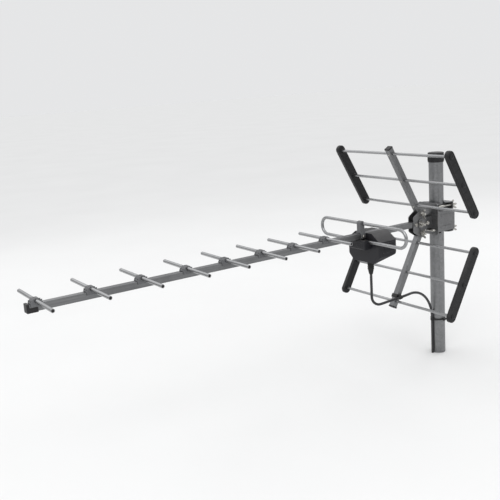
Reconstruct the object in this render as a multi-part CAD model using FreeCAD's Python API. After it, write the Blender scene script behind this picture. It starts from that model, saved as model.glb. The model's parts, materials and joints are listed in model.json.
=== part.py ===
"""Corner-reflector UHF yagi antenna on a short mast stub: one STEP file per piece.

Millimetres. +Z is up along the mast, -Y is the way the antenna looks, and +X is to the left of that.
The origin is the centre of the mast's foot. Heights written as "level" are counted from the boom axis.
"""
import FreeCAD
import Part

import math
import os

# ---- driving dimensions ----
MAST_R = 19.0
MAST_WALL = 1.5
MAST_LENGTH = 546.0
BOOM_Z = 370.0  # height of the boom axis above the mast's foot
BOOM_SIDE = 15.0
BOOM_WALL = 1.2
BOOM_TIP_Y = -1109.0
BOOM_REAR_Y = -40.0
DIRECTOR_Y = (-385.0, -480.0, -571.0, -667.0, -764.0, -870.0, -980.0, -1091.0)
DIRECTOR_HALF = 98.0
DIRECTOR_R = 4.0
DIRECTOR_LEVEL = 12.4
DIPOLE_Y = -266.5
DIPOLE_HALF = 158.0
DIPOLE_R = 4.0
DIPOLE_TOP_LEVEL = 31.0
DIPOLE_LOW_LEVEL = -13.0
FEED_GAP_HALF = 8.0
PANEL_LEAN = 29.6  # degrees a reflector panel leans forward of upright
PANEL_PIVOT_Y = -66.0
PANEL_PIVOT_LEVEL = 26.0
ARM_LENGTH = 205.0
ROD_S = (27.0, 109.0, 191.0)  # distances of the reflector rods from the panel's pivot
ROD_R = 3.5
ROD_HALF = 195.5
STRIP_HALF_WIDTH = 12.0
STRIP_THICK = 11.0
TILT_Y = -50.0
TILT_SLOT_R = 22.0
TILT_UP = 15.0
TILT_DOWN = 10.0
CABLE_R = 3.4

# ---- shared small dimensions ----
BOLT_R = 3.0
RUNNING = 0.05  # radial clearance of a hole that turns on a bolt
LOOSE = 0.1  # radial clearance of a bolt hole that doesn't turn
SLIP = 0.05  # gap between pieces that are pushed together
SHEET = 2.5  # clamp bracket sheet
PLATE = 2.0  # hinge plates
BOOM_HALF = BOOM_SIDE / 2
PLATE_IN = BOOM_HALF + LOOSE
PLATE_OUT = PLATE_IN + PLATE
EAR_IN = PLATE_OUT + LOOSE
EAR_OUT = EAR_IN + SHEET
U_BOLT_X = 24.0
U_BOLT_LEVELS = (38.0, -22.0)
WEB_REAR = -30.5
WEB_FRONT = WEB_REAR - SHEET
JAW_HALF_HEIGHT = 10.0
JAW_HALF_WIDTH = 31.0
JAW_BACK = 30.5  # from the mast axis to the outer face of a jaw's back plate
JAW_PLATE = 2.0
NUT_SEAT_Y = JAW_BACK + 1.5
BOX_FRONT = -262.0
BOX_REAR = -205.0
BOX_HALF = 58.0
BOX_WALL = 2.5
BOX_LOW_FRONT = -68.0
BOX_LOW_REAR = -46.0
SOCKET_Y = -240.0

Vector = FreeCAD.Vector
X_AXIS = Vector(1, 0, 0)
Y_AXIS = Vector(0, 1, 0)
Z_AXIS = Vector(0, 0, 1)


# ---- helpers ----
def at(x, y, level):
    """A point given with its height counted from the boom axis."""
    return Vector(x, y, BOOM_Z + level)


def block(x0, x1, y0, y1, level0, level1):
    return Part.makeBox(x1 - x0, y1 - y0, level1 - level0, at(x0, y0, level0))


def rod(radius, start, end):
    span = end - start
    return Part.makeCylinder(radius, span.Length, start, span)


def cone(r_start, r_end, start, end):
    span = end - start
    return Part.makeCone(r_start, r_end, span.Length, start, span)


def pipe(outer, inner, start, end):
    return rod(outer, start, end).cut(rod(inner, start, end))


def polygon_prism(points, travel):
    face = Part.Face(Part.makePolygon(points + points[:1]))
    return face.extrude(travel)


def prism_x(outline, x0, x1):
    """Extrudes a (y, level) outline from x0 to x1."""
    return polygon_prism([at(x0, y, level) for y, level in outline], Vector(x1 - x0, 0, 0))


def prism_y(outline, y0, y1):
    """Extrudes an (x, level) outline from y0 to y1."""
    return polygon_prism([at(x, y0, level) for x, level in outline], Vector(0, y1 - y0, 0))


def prism_z(outline, level0, level1):
    """Extrudes an (x, y) outline between two levels."""
    return polygon_prism([at(x, y, level0) for x, y in outline], Vector(0, 0, level1 - level0))


def hull_prism(circles, x0, x1):
    """Extrudes the tight belt round (y, level, radius) circles, listed anticlockwise in the YZ plane."""
    count = len(circles)
    leave = []
    arrive = []
    for i in range(count):
        ya, za, ra = circles[i]
        yb, zb, rb = circles[(i + 1) % count]
        dist = math.hypot(yb - ya, zb - za)
        dy = (yb - ya) / dist
        dz = (zb - za) / dist
        sine = (ra - rb) / dist
        cosine = math.sqrt(1 - sine * sine)
        ny = dz * cosine + dy * sine
        nz = -dy * cosine + dz * sine
        leave.append((ya + ra * ny, za + ra * nz))
        arrive.append((yb + rb * ny, zb + rb * nz))
    edges = []
    for i in range(count):
        start = leave[i]
        end = arrive[i]
        edges.append(Part.makeLine(at(x0, *start), at(x0, *end)))
        y, z, r = circles[(i + 1) % count]
        after = leave[(i + 1) % count]
        my = (end[0] + after[0]) / 2 - y
        mz = (end[1] + after[1]) / 2 - z
        size = math.hypot(my, mz)
        middle = (y + r * my / size, z + r * mz / size)
        edges.append(Part.Arc(at(x0, *end), at(x0, *middle), at(x0, *after)).toShape())
    face = Part.Face(Part.Wire(edges))
    return face.extrude(Vector(x1 - x0, 0, 0))


def hexagon(across, start, end):
    """A hexagonal bar between two points, with one flat square to +Z or, on an upright bar, to +Y."""
    corner = across / math.sqrt(3)
    bar = Part.makePolygon([
        Vector(corner * math.cos(math.radians(60 * n)), corner * math.sin(math.radians(60 * n)), 0)
        for n in range(7)
    ])
    span = end - start
    solid = Part.Face(bar).extrude(Vector(0, 0, span.Length))
    return stand(solid, start, span)


def stand(shape, origin, direction, side=X_AXIS):
    """Moves a shape built along +Z from the origin so that it stands on origin along direction."""
    if abs(direction.dot(side)) > 0.9 * direction.Length:
        side = Y_AXIS
    turn = FreeCAD.Rotation(side, direction.cross(side), direction, "ZXY")
    moved = shape.copy()
    moved.Placement = FreeCAD.Placement(origin, turn).multiply(shape.Placement)
    return moved


def cable_run(points, bend_radii, radius):
    """A round cable along straight stretches joined by arcs, with one bend radius per inner point."""
    solid = None
    start = points[0]
    for here, ahead, bend in zip(points[1:-1], points[2:], bend_radii):
        way_in = (here - start).normalize()
        way_out = (ahead - here).normalize()
        angle = math.acos(way_in.dot(way_out))
        back = bend * math.tan(angle / 2)
        arc_start = here - way_in * back
        axis = way_in.cross(way_out).normalize()
        centre = arc_start + axis.cross(way_in) * bend
        straight = rod(radius, start, arc_start)
        disc = Part.Face(Part.Wire([Part.Circle(arc_start, way_in, radius).toShape()]))
        curved = disc.revolve(centre, axis, math.degrees(angle))
        piece = straight.fuse(curved)
        solid = piece if solid is None else solid.fuse(piece)
        start = here + way_out * back
    return solid.fuse(rod(radius, start, points[-1])).removeSplitter()


def bent_rod(edges, radius, start, start_way):
    circle = Part.Wire([Part.Circle(start, start_way, radius).toShape()])
    return Part.Wire(edges).makePipeShell([circle], True, True)


def square_tube(half, wall, start, end):
    """A square tube with rounded edges, built along +Z and stood on start."""
    span = end - start
    length = span.Length
    outer = Part.makeBox(2 * half, 2 * half, length, Vector(-half, -half, 0))
    uprights = [e for e in outer.Edges if abs(e.tangentAt(e.FirstParameter).z) > 0.9]
    outer = outer.makeFillet(wall, uprights)
    inner_half = half - wall
    inner = Part.makeBox(2 * inner_half, 2 * inner_half, length, Vector(-inner_half, -inner_half, 0))
    return stand(outer.cut(inner), start, span)


def bolt_x(radius, y, level, x_head, x_end, across, head):
    """A hexagon bolt along +X: its head's bearing face is at x_head and its thread ends at x_end."""
    shank = rod(radius, at(x_head, y, level), at(x_end, y, level))
    return shank.fuse(hexagon(across, at(x_head - head, y, level), at(x_head, y, level)))


def nut(radius, across, height, seat, way):
    """A hexagon nut standing on seat, with its bore just clear of a bolt of this radius."""
    end = seat + way * height
    return hexagon(across, seat, end).cut(rod(radius + RUNNING, seat, end))


def wing_nut(seat, way, side):
    """An M6 wing nut standing on seat; side is the direction its wings point."""
    base = Part.makeCone(6.0, 4.8, 7.0)
    wings = Part.makeCompound([])
    for sign in (-1, 1):
        outline = [
            (0, 2.0), (0, 6.2), (5.5, 8.0), (8.0, 12.5), (12.0, 13.5), (12.4, 10.0), (9.0, 4.0), (5.0, 1.6),
        ]
        points = [Vector(sign * u, -1.2, v) for u, v in outline]
        wing = polygon_prism(points, Vector(0, 2.4, 0))
        wings = wing if sign < 0 else wings.fuse(wing)
    bored = base.fuse(wings).cut(Part.makeCylinder(BOLT_R + RUNNING, 20, Vector(0, 0, -1)))
    return stand(bored.removeSplitter(), seat, way, side)


def save(name, solids):
    """Writes one node. Every solid stays its own solid in the file."""
    if not isinstance(solids, list):
        solids = [solids]
    loose = []
    for solid in solids:
        loose.extend(solid.Solids)
    shape = loose[0] if len(loose) == 1 else Part.makeCompound(loose)
    shape.exportStep("parts/%s.step" % name)
    faults = [s for s in loose if not s.isValid()]
    print("%-22s %2d solids %9.1f mm3%s" % (
        name, len(loose), sum(s.Volume for s in loose), "  NOT VALID" if faults else ""))


# ---- mast ----
def make_mast():
    foot = Vector(0, 0, 0)
    top = Vector(0, 0, MAST_LENGTH)
    save("mast_tube", pipe(MAST_R, MAST_R - MAST_WALL, foot, top))

    skirt = 22.0
    roof = 3.0
    shell_r = MAST_R + SLIP
    cap = rod(shell_r + 1.8, Vector(0, 0, MAST_LENGTH - skirt), Vector(0, 0, MAST_LENGTH + roof))
    cap = cap.makeFillet(2.2, [e for e in cap.Edges if e.BoundBox.ZMin > MAST_LENGTH + roof - 0.1])
    hollow = rod(shell_r, Vector(0, 0, MAST_LENGTH - skirt - 1), Vector(0, 0, MAST_LENGTH))
    save("mast_cap", cap.cut(hollow))


def belt_prism(r_a, r_b, spacing, z0, z1):
    """The tight belt round a circle on the mast axis and a smaller one in front of it at -Y."""
    sine = (r_a - r_b) / spacing
    cosine = math.sqrt(1 - sine * sine)
    tangents = {}
    for side in (-1, 1):
        tangents[side] = (
            Vector(side * r_a * cosine, -r_a * sine, z0),
            Vector(side * r_b * cosine, -spacing - r_b * sine, z0),
        )
    edges = [
        Part.makeLine(tangents[1][0], tangents[1][1]),
        Part.Arc(tangents[1][1], Vector(0, -spacing - r_b, z0), tangents[-1][1]).toShape(),
        Part.makeLine(tangents[-1][1], tangents[-1][0]),
        Part.Arc(tangents[-1][0], Vector(0, r_a, z0), tangents[1][0]).toShape(),
    ]
    return Part.Face(Part.Wire(edges)).extrude(Vector(0, 0, z1 - z0))


TIE_Z = 96.0
DOWNLEAD_Y = -(MAST_R + CABLE_R + 0.2)


def make_mast_tie():
    half = 2.4
    band = 1.3
    spacing = -DOWNLEAD_Y
    inner = belt_prism(MAST_R + SLIP, CABLE_R + SLIP, spacing, TIE_Z - half, TIE_Z + half)
    outer = belt_prism(MAST_R + SLIP + band, CABLE_R + SLIP + band, spacing, TIE_Z - half, TIE_Z + half)
    head = Part.makeBox(6.0, 7.0, 7.0, Vector(MAST_R + SLIP + 0.3, -3.5, TIE_Z - 3.5))
    tail = Part.makeBox(1.2, 9.0, 2 * half, Vector(MAST_R + SLIP + 3.0, 3.5, TIE_Z - half))
    save("mast_cable_tie", outer.fuse(head).fuse(tail).cut(inner))


# ---- clamp ----
def toothed_notch(face_sign):
    """The toothed V that a jaw's flange presses on the mast, as an (x, y) outline that opens to the mast."""
    apex = (MAST_R + SLIP) * math.sqrt(2)
    teeth = 6
    run = 18.0
    tooth = run / teeth
    depth = 0.9
    flank = []
    for n in range(teeth):
        u = n * tooth
        flank.append((u, apex - u))
        valley = u + tooth / 2
        flank.append((valley + depth / math.sqrt(2), apex - valley + depth / math.sqrt(2)))
    flank.append((run, apex - run))
    right = flank
    left = [(-x, y) for x, y in reversed(flank[1:])]
    mouth = [(run, 0.0), (-run, 0.0)]
    return [(x, face_sign * y) for x, y in left + right + mouth]


def jaw(level, face_sign):
    """A channel-shaped toothed jaw. face_sign is +1 behind the mast and -1 in front of it."""
    low = level - JAW_HALF_HEIGHT
    high = level + JAW_HALF_HEIGHT
    nose = 8.0
    back = sorted((face_sign * (JAW_BACK - JAW_PLATE), face_sign * JAW_BACK))
    deep = sorted((face_sign * nose, face_sign * JAW_BACK))
    shape = block(-JAW_HALF_WIDTH, JAW_HALF_WIDTH, back[0], back[1], low, high)
    for edge in (low, high - JAW_PLATE):
        flange = block(-JAW_HALF_WIDTH, JAW_HALF_WIDTH, deep[0], deep[1], edge, edge + JAW_PLATE)
        shape = shape.fuse(flange)
    shape = shape.cut(prism_z(toothed_notch(face_sign), low - 1, high + 1))
    for side in (-1, 1):
        x = side * U_BOLT_X
        shape = shape.cut(rod(BOLT_R + 0.3, at(x, -60, level), at(x, 60, level)))
        corner = [
            (side * (JAW_HALF_WIDTH + 1), face_sign * (nose - 1)),
            (side * (JAW_HALF_WIDTH + 1), face_sign * (nose + 8)),
            (side * (JAW_HALF_WIDTH - 9), face_sign * (nose - 1)),
        ]
        shape = shape.cut(prism_z(corner, low - 1, high + 1))
    return shape.removeSplitter()


def u_bolt(level):
    """A square U-bolt: crossbar in front of the web, legs back past the mast."""
    bar_y = WEB_FRONT - BOLT_R - SLIP
    bend = 6.0
    tip_y = NUT_SEAT_Y + 16.0
    corner_x = U_BOLT_X - bend
    quarter = bend * math.sqrt(0.5)
    edges = []
    starts = {-1: at(-U_BOLT_X, tip_y, level), 1: at(U_BOLT_X, tip_y, level)}
    edges.append(Part.makeLine(starts[-1], at(-U_BOLT_X, bar_y + bend, level)))
    edges.append(Part.Arc(
        at(-U_BOLT_X, bar_y + bend, level),
        at(-corner_x - quarter, bar_y + bend - quarter, level),
        at(-corner_x, bar_y, level)).toShape())
    edges.append(Part.makeLine(at(-corner_x, bar_y, level), at(corner_x, bar_y, level)))
    edges.append(Part.Arc(
        at(corner_x, bar_y, level),
        at(corner_x + quarter, bar_y + bend - quarter, level),
        at(U_BOLT_X, bar_y + bend, level)).toShape())
    edges.append(Part.makeLine(at(U_BOLT_X, bar_y + bend, level), starts[1]))
    return bent_rod(edges, BOLT_R, starts[-1], Y_AXIS)


def arc_slot(radius, half_width, angle_low, angle_high, x0, x1):
    """A curved slot round the tilt pivot. Angles are in degrees above the boom's forward direction."""
    def spot(r, angle):
        a = math.radians(angle)
        return at(x0, TILT_Y - r * math.cos(a), r * math.sin(a))

    middle = (angle_low + angle_high) / 2
    inner = radius - half_width
    outer = radius + half_width
    end_turn = math.degrees(half_width / radius)
    top_end = spot(radius, angle_high + end_turn)
    low_end = spot(radius, angle_low - end_turn)
    edges = [
        Part.Arc(spot(outer, angle_low), spot(outer, middle), spot(outer, angle_high)).toShape(),
        Part.Arc(spot(outer, angle_high), top_end, spot(inner, angle_high)).toShape(),
        Part.Arc(spot(inner, angle_high), spot(inner, middle), spot(inner, angle_low)).toShape(),
        Part.Arc(spot(inner, angle_low), low_end, spot(outer, angle_low)).toShape(),
    ]
    return Part.Face(Part.Wire(edges)).extrude(Vector(x1 - x0, 0, 0))


def u_bolt_slot(side, level):
    """The oblong hole in the web that a U-bolt's leg goes through and its bend sinks into."""
    radius = BOLT_R + 0.3
    bend_x = side * (U_BOLT_X - BOLT_R)
    leg_x = side * U_BOLT_X
    front = WEB_FRONT - 1
    rear = WEB_REAR + 1
    slot = block(*sorted((bend_x, leg_x)), front, rear, level - radius, level + radius)
    for x in (bend_x, leg_x):
        slot = slot.fuse(rod(radius, at(x, front, level), at(x, rear, level)))
    return slot


def make_bracket():
    flange_in = 33.0
    flange_out = flange_in + SHEET
    web_low = -34.0
    web_high = 50.0
    corner_r = 8.0
    web = block(-flange_out, flange_out, WEB_FRONT, WEB_REAR, web_low, web_high)
    corners = [e for e in web.Edges if abs(e.tangentAt(e.FirstParameter).y) > 0.9]
    web = web.makeFillet(corner_r, corners)
    shape = web
    for side in (-1, 1):
        lo, hi = sorted((side * flange_in, side * flange_out))
        flange = block(lo, hi, WEB_FRONT, JAW_BACK, -26.0, 28.0)
        rear = [e for e in flange.Edges if abs(e.tangentAt(e.FirstParameter).x) > 0.9 and e.BoundBox.YMin > 0]
        shape = shape.fuse(flange.makeFillet(7.0, rear))

        lo, hi = sorted((side * EAR_IN, side * EAR_OUT))
        reach = TILT_SLOT_R
        up = math.radians(TILT_UP)
        down = math.radians(TILT_DOWN)
        ear = hull_prism([
            (WEB_FRONT - 3.0, -13.0, 3.0),
            (WEB_FRONT - 3.0, 13.0, 3.0),
            (TILT_Y - reach * math.cos(up), reach * math.sin(up), 8.0),
            (TILT_Y - reach * math.cos(down), -reach * math.sin(down), 8.0),
        ], lo, hi)
        ear = ear.cut(arc_slot(TILT_SLOT_R, BOLT_R + 0.2, -TILT_DOWN - 1, TILT_UP + 1, lo - 1, hi + 1))
        shape = shape.fuse(ear)
        for level in U_BOLT_LEVELS:
            shape = shape.cut(u_bolt_slot(side, level))
    shape = shape.cut(rod(BOLT_R + LOOSE, at(-20, TILT_Y, 0), at(20, TILT_Y, 0)))
    save("clamp_bracket", shape.removeSplitter())


def make_clamp():
    make_bracket()
    save("clamp_saddles", [jaw(level, -1) for level in U_BOLT_LEVELS])
    save("clamp_jaws", [jaw(level, 1) for level in U_BOLT_LEVELS])
    save("clamp_u_bolts", [u_bolt(level) for level in U_BOLT_LEVELS])
    washers = []
    number = 1
    for level in U_BOLT_LEVELS:
        for side in (-1, 1):
            seat = at(side * U_BOLT_X, JAW_BACK, level)
            washers.append(pipe(6.2, BOLT_R + LOOSE, seat, at(side * U_BOLT_X, NUT_SEAT_Y, level)))
            seat = at(side * U_BOLT_X, NUT_SEAT_Y + SLIP, level)
            tilt = math.radians(90 + 25 * side)
            wings = Vector(math.cos(tilt), 0, math.sin(tilt))
            save("clamp_wing_nut_%d" % number, wing_nut(seat, Y_AXIS, wings))
            number += 1
    save("clamp_washers", washers)
    pivot = bolt_x(BOLT_R, TILT_Y, 0, -EAR_OUT - SLIP, EAR_OUT + 7.5, 10.0, 4.0)
    save("tilt_pivot_bolt", pivot)
    save("tilt_pivot_nut", nut(BOLT_R, 10.0, 5.0, at(EAR_OUT + SLIP, TILT_Y, 0), X_AXIS))


# ---- boom ----
BOOM_BOLT_Y = -88.0
PEG_R = 2.6
SADDLE_BOLT_Y = -270.0
SADDLE_BOLT_R = 2.0
BOX_SCREW_Y = (-252.0, -216.0)
BOX_SCREW_R = 1.7
LOCK_Y = TILT_Y - TILT_SLOT_R


def make_boom():
    tube = square_tube(BOOM_HALF, BOOM_WALL, at(0, BOOM_REAR_Y, 0), at(0, BOOM_TIP_Y, 0))
    cuts = [rod(PEG_R + LOOSE, at(0, y, 0), at(0, y, 10)) for y in DIRECTOR_Y]
    cuts.append(rod(BOLT_R + RUNNING, at(-10, TILT_Y, 0), at(10, TILT_Y, 0)))
    cuts.append(rod(BOLT_R + LOOSE, at(-10, LOCK_Y, 0), at(10, LOCK_Y, 0)))
    cuts.append(rod(2.5 + LOOSE, at(-10, BOOM_BOLT_Y, 0), at(10, BOOM_BOLT_Y, 0)))
    cuts.append(rod(SADDLE_BOLT_R + LOOSE, at(-10, SADDLE_BOLT_Y, 0), at(10, SADDLE_BOLT_Y, 0)))
    cuts += [rod(BOX_SCREW_R + LOOSE, at(0, y, -10), at(0, y, 0)) for y in BOX_SCREW_Y]
    save("boom_tube", tube.cut(Part.makeCompound(cuts)))

    inner = BOOM_HALF - BOOM_WALL - SLIP
    sleeve = BOOM_HALF + 1.6
    face_y = BOOM_TIP_Y - 2.4
    tip = block(-sleeve, sleeve, face_y, BOOM_TIP_Y + 20.0, -sleeve, sleeve)
    tip = tip.makeFillet(1.2, tip.Edges)
    around = BOOM_HALF + SLIP
    tip = tip.cut(block(-around, around, BOOM_TIP_Y - SLIP, BOOM_TIP_Y + 30, -around, around))
    tip = tip.cut(block(-sleeve - 1, sleeve + 1, BOOM_TIP_Y + 3.5, BOOM_TIP_Y + 30, 0.5, sleeve + 1))
    tip = tip.fuse(block(-inner, inner, BOOM_TIP_Y - 1, BOOM_TIP_Y + 10, -inner, inner))
    save("boom_tip_cap", tip.removeSplitter())

    rear = block(-inner, inner, BOOM_REAR_Y - 6.0, BOOM_REAR_Y + 0.5, -inner, inner)
    flange = block(-BOOM_HALF, BOOM_HALF, BOOM_REAR_Y + SLIP, BOOM_REAR_Y + 2, -BOOM_HALF, BOOM_HALF)
    upright = [e for e in flange.Edges if abs(e.tangentAt(e.FirstParameter).y) > 0.9]
    rear = rear.fuse(flange.makeFillet(1.2, upright))
    rear = rear.cut(rod(BOLT_R + 1.2, at(-10, TILT_Y, 0), at(10, TILT_Y, 0)))
    save("boom_rear_cap", rear.removeSplitter())


def make_hinge_plates():
    plates = []
    for side in (-1, 1):
        lo, hi = sorted((side * PLATE_IN, side * PLATE_OUT))
        plate = hull_prism([
            (PANEL_PIVOT_Y, -PANEL_PIVOT_LEVEL, 11.0),
            (TILT_Y, 0.0, 12.0),
            (PANEL_PIVOT_Y, PANEL_PIVOT_LEVEL, 11.0),
            (-89.0, 16.0, 7.0),
            (-89.0, -16.0, 7.0),
        ], lo, hi)
        cuts = [
            rod(BOLT_R + RUNNING, at(-20, TILT_Y, 0), at(20, TILT_Y, 0)),
            rod(BOLT_R + LOOSE, at(-20, LOCK_Y, 0), at(20, LOCK_Y, 0)),
            rod(2.5 + LOOSE, at(-20, BOOM_BOLT_Y, 0), at(20, BOOM_BOLT_Y, 0)),
        ]
        for level in (-PANEL_PIVOT_LEVEL, PANEL_PIVOT_LEVEL):
            cuts.append(rod(BOLT_R + LOOSE, at(-20, PANEL_PIVOT_Y, level), at(20, PANEL_PIVOT_Y, level)))
        plates.append(plate.cut(Part.makeCompound(cuts)))
    save("hinge_plates", plates)

    fixed = bolt_x(2.5, BOOM_BOLT_Y, 0, -PLATE_OUT - SLIP, PLATE_OUT + 5.0, 8.0, 3.5)
    fixed_nut = nut(2.5, 8.0, 4.0, at(PLATE_OUT + SLIP, BOOM_BOLT_Y, 0), X_AXIS)
    save("boom_fasteners", [fixed, fixed_nut])

    # the carriage bolt's flat head bears on the ear, whose slot it can slide along
    head = rod(7.0, at(-EAR_OUT - SLIP - 2.5, LOCK_Y, 0), at(-EAR_OUT - SLIP, LOCK_Y, 0))
    head = head.makeFillet(1.4, [e for e in head.Edges if e.BoundBox.XMax < -EAR_OUT - 2])
    lock = head.fuse(rod(BOLT_R, at(-EAR_OUT - SLIP - 1, LOCK_Y, 0), at(EAR_OUT + 15, LOCK_Y, 0)))
    save("tilt_lock_bolt", lock.removeSplitter())
    washer_end = EAR_OUT + SLIP + 1.4
    washer = pipe(7.0, BOLT_R + LOOSE, at(EAR_OUT + SLIP, LOCK_Y, 0), at(washer_end, LOCK_Y, 0))
    save("tilt_lock_washer", washer)
    save("tilt_wing_nut", wing_nut(at(washer_end + SLIP, LOCK_Y, 0), X_AXIS, Vector(0, 1, 0.25)))

    bolts = []
    for level in (PANEL_PIVOT_LEVEL, -PANEL_PIVOT_LEVEL):
        bolts.append(bolt_x(BOLT_R, PANEL_PIVOT_Y, level, -PLATE_OUT - SLIP, PLATE_OUT + 14.0, 10.0, 4.0))
    save("arm_pivot_bolts", bolts)
    for name, level in (("upper", PANEL_PIVOT_LEVEL), ("lower", -PANEL_PIVOT_LEVEL)):
        seat = at(PLATE_OUT + SLIP, PANEL_PIVOT_Y, level)
        save("%s_wing_nut" % name, wing_nut(seat, X_AXIS, Vector(0, 0.6, level)))


def make_directors():
    holders = []
    bore = DIRECTOR_R - 1.0
    base = BOOM_HALF
    lip = BOOM_HALF + SLIP
    skin = lip + 1.5
    for number, y in enumerate(DIRECTOR_Y, 1):
        ends = (at(-DIRECTOR_HALF, y, DIRECTOR_LEVEL), at(DIRECTOR_HALF, y, DIRECTOR_LEVEL))
        save("director_%d" % number, pipe(DIRECTOR_R, bore, *ends))

        hump = prism_x([
            (y - 12.0, base - 6.0), (y - 12.0, base + 2.0), (y - 5.5, base + 10.0),
            (y + 5.5, base + 10.0), (y + 12.0, base + 2.0), (y + 12.0, base - 6.0),
        ], -skin, skin)
        top = [e for e in hump.Edges if e.BoundBox.ZMin > BOOM_Z + base + 1]
        hump = hump.makeFillet(1.0, top)
        hump = hump.cut(block(-lip, lip, y - 20, y + 20, -20, base))
        hump = hump.cut(rod(DIRECTOR_R + SLIP, at(-20, y, DIRECTOR_LEVEL), at(20, y, DIRECTOR_LEVEL)))
        peg = rod(PEG_R, at(0, y, base - BOOM_WALL - SLIP), at(0, y, base + 0.5))
        barb_top = at(0, y, base - BOOM_WALL - SLIP)
        barb = cone(1.6, PEG_R + 0.9, at(0, y, base - BOOM_WALL - 4.0), barb_top)
        barb = barb.cut(block(-0.6, 0.6, y - 5, y + 5, base - 8, base - BOOM_WALL - SLIP))
        holders.append(hump.fuse(peg).fuse(barb).removeSplitter())
    save("director_holders", holders)


# ---- driven element ----
def loop_pipe(radius, y):
    """The folded dipole's round bar: lower run from the feed gap, round one end, over the top and back."""
    turn_r = (DIPOLE_TOP_LEVEL - DIPOLE_LOW_LEVEL) / 2
    middle = (DIPOLE_TOP_LEVEL + DIPOLE_LOW_LEVEL) / 2
    end_x = DIPOLE_HALF - DIPOLE_R
    turn_x = end_x - turn_r
    start = at(FEED_GAP_HALF, y, DIPOLE_LOW_LEVEL)
    left_low = at(turn_x, y, DIPOLE_LOW_LEVEL)
    left_top = at(turn_x, y, DIPOLE_TOP_LEVEL)
    right_low = at(-turn_x, y, DIPOLE_LOW_LEVEL)
    right_top = at(-turn_x, y, DIPOLE_TOP_LEVEL)
    edges = [
        Part.makeLine(start, left_low),
        Part.Arc(left_low, at(end_x, y, middle), left_top).toShape(),
        Part.makeLine(left_top, right_top),
        Part.Arc(right_top, at(-end_x, y, middle), right_low).toShape(),
        Part.makeLine(right_low, at(-FEED_GAP_HALF, y, DIPOLE_LOW_LEVEL)),
    ]
    return bent_rod(edges, radius, start, X_AXIS)


TERMINAL_X = 14.0
TERMINAL_R = 2.0


def make_dipole():
    loop = loop_pipe(DIPOLE_R, DIPOLE_Y).cut(loop_pipe(DIPOLE_R - 1.0, DIPOLE_Y))
    for side in (-1, 1):
        x = side * TERMINAL_X
        loop = loop.cut(rod(TERMINAL_R + LOOSE, at(x, -280, DIPOLE_LOW_LEVEL), at(x, -250, DIPOLE_LOW_LEVEL)))
    save("dipole_loop", loop)

    lip = BOOM_HALF + SLIP
    skin = lip + 2.0
    front = -276.0
    rear = BOX_FRONT - 0.3
    saddle = prism_y([
        (-skin, -5.0), (-skin, 9.5), (-6.5, 14.0), (-6.5, DIPOLE_TOP_LEVEL),
        (6.5, DIPOLE_TOP_LEVEL), (6.5, 14.0), (skin, 9.5), (skin, -5.0),
    ], front, rear)
    eye = rod((rear - front) / 2, at(-6.5, (front + rear) / 2, DIPOLE_TOP_LEVEL),
              at(6.5, (front + rear) / 2, DIPOLE_TOP_LEVEL))
    saddle = saddle.fuse(eye)
    saddle = saddle.cut(block(-lip, lip, front - 1, rear + 1, -20, BOOM_HALF))
    bore = rod(DIPOLE_R + SLIP, at(-20, DIPOLE_Y, DIPOLE_TOP_LEVEL), at(20, DIPOLE_Y, DIPOLE_TOP_LEVEL))
    saddle = saddle.cut(bore)
    saddle = saddle.cut(rod(SADDLE_BOLT_R + LOOSE, at(-20, SADDLE_BOLT_Y, 0), at(20, SADDLE_BOLT_Y, 0)))
    save("dipole_saddle", saddle.removeSplitter())

    fasteners = [
        bolt_x(SADDLE_BOLT_R, SADDLE_BOLT_Y, 0, -skin - SLIP, skin + 4.5, 7.0, 2.8),
        nut(SADDLE_BOLT_R, 7.0, 3.0, at(skin + SLIP, SADDLE_BOLT_Y, 0), X_AXIS),
    ]
    for y in BOX_SCREW_Y:
        head_top = at(0, y, BOX_ROOF - BOX_WALL - SLIP)
        screw = rod(BOX_SCREW_R, at(0, y, BOX_ROOF - BOX_WALL - 1), at(0, y, -3.0))
        fasteners.append(screw.fuse(rod(3.2, at(0, y, BOX_ROOF - BOX_WALL - SLIP - 2.2), head_top)))
    save("dipole_fasteners", fasteners)


# ---- dipole box ----
BOX_ROOF = -BOOM_HALF - 0.2  # underside of the boom groove
GROOVE_HALF = BOOM_HALF + 0.2
OPENING_HALF = 50.0
OPENING_LOW = -42.0
OPENING_HIGH = -13.0
HINGE_Y = BOX_REAR + 3.2
HINGE_LEVEL = -47.5
KNUCKLE_R = 2.8
BOARD_LEVEL = -43.0
BOARD_THICK = 1.6
BOSS_LEVEL = -64.5
BOX_CORNER = 24.0  # how far the sloping lower corners cut in


def box_solid(inset):
    """The box's outer block, or its cavity when inset is the wall thickness."""
    half = BOX_HALF - inset
    top = BOOM_HALF - inset
    shoulder = -12.0 + 0.4 * inset
    groove = GROOVE_HALF + inset
    roof = BOX_ROOF - inset
    keel = BOX_LOW_FRONT - 5.0
    bilge = BOX_CORNER - 0.4 * inset
    section = prism_y([
        (-half + bilge, keel), (-half, keel + bilge), (-half, shoulder), (-30.0 + 0.5 * inset, top),
        (-groove, top), (-groove, roof), (groove, roof), (groove, top), (30.0 - 0.5 * inset, top),
        (half, shoulder), (half, keel + bilge), (half - bilge, keel),
    ], BOX_FRONT + inset, BOX_REAR - inset)
    slope = (BOX_LOW_REAR - BOX_LOW_FRONT) / (BOX_REAR - BOX_FRONT)
    rise = inset * math.sqrt(1 + slope * slope)
    side = prism_x([
        (BOX_FRONT - 1, BOX_LOW_FRONT - slope + rise), (BOX_REAR + 1, BOX_LOW_REAR + slope + rise),
        (BOX_REAR + 1, 40.0), (BOX_FRONT - 1, 40.0),
    ], -BOX_HALF - 1, BOX_HALF + 1)
    return section.common(side)


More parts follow.
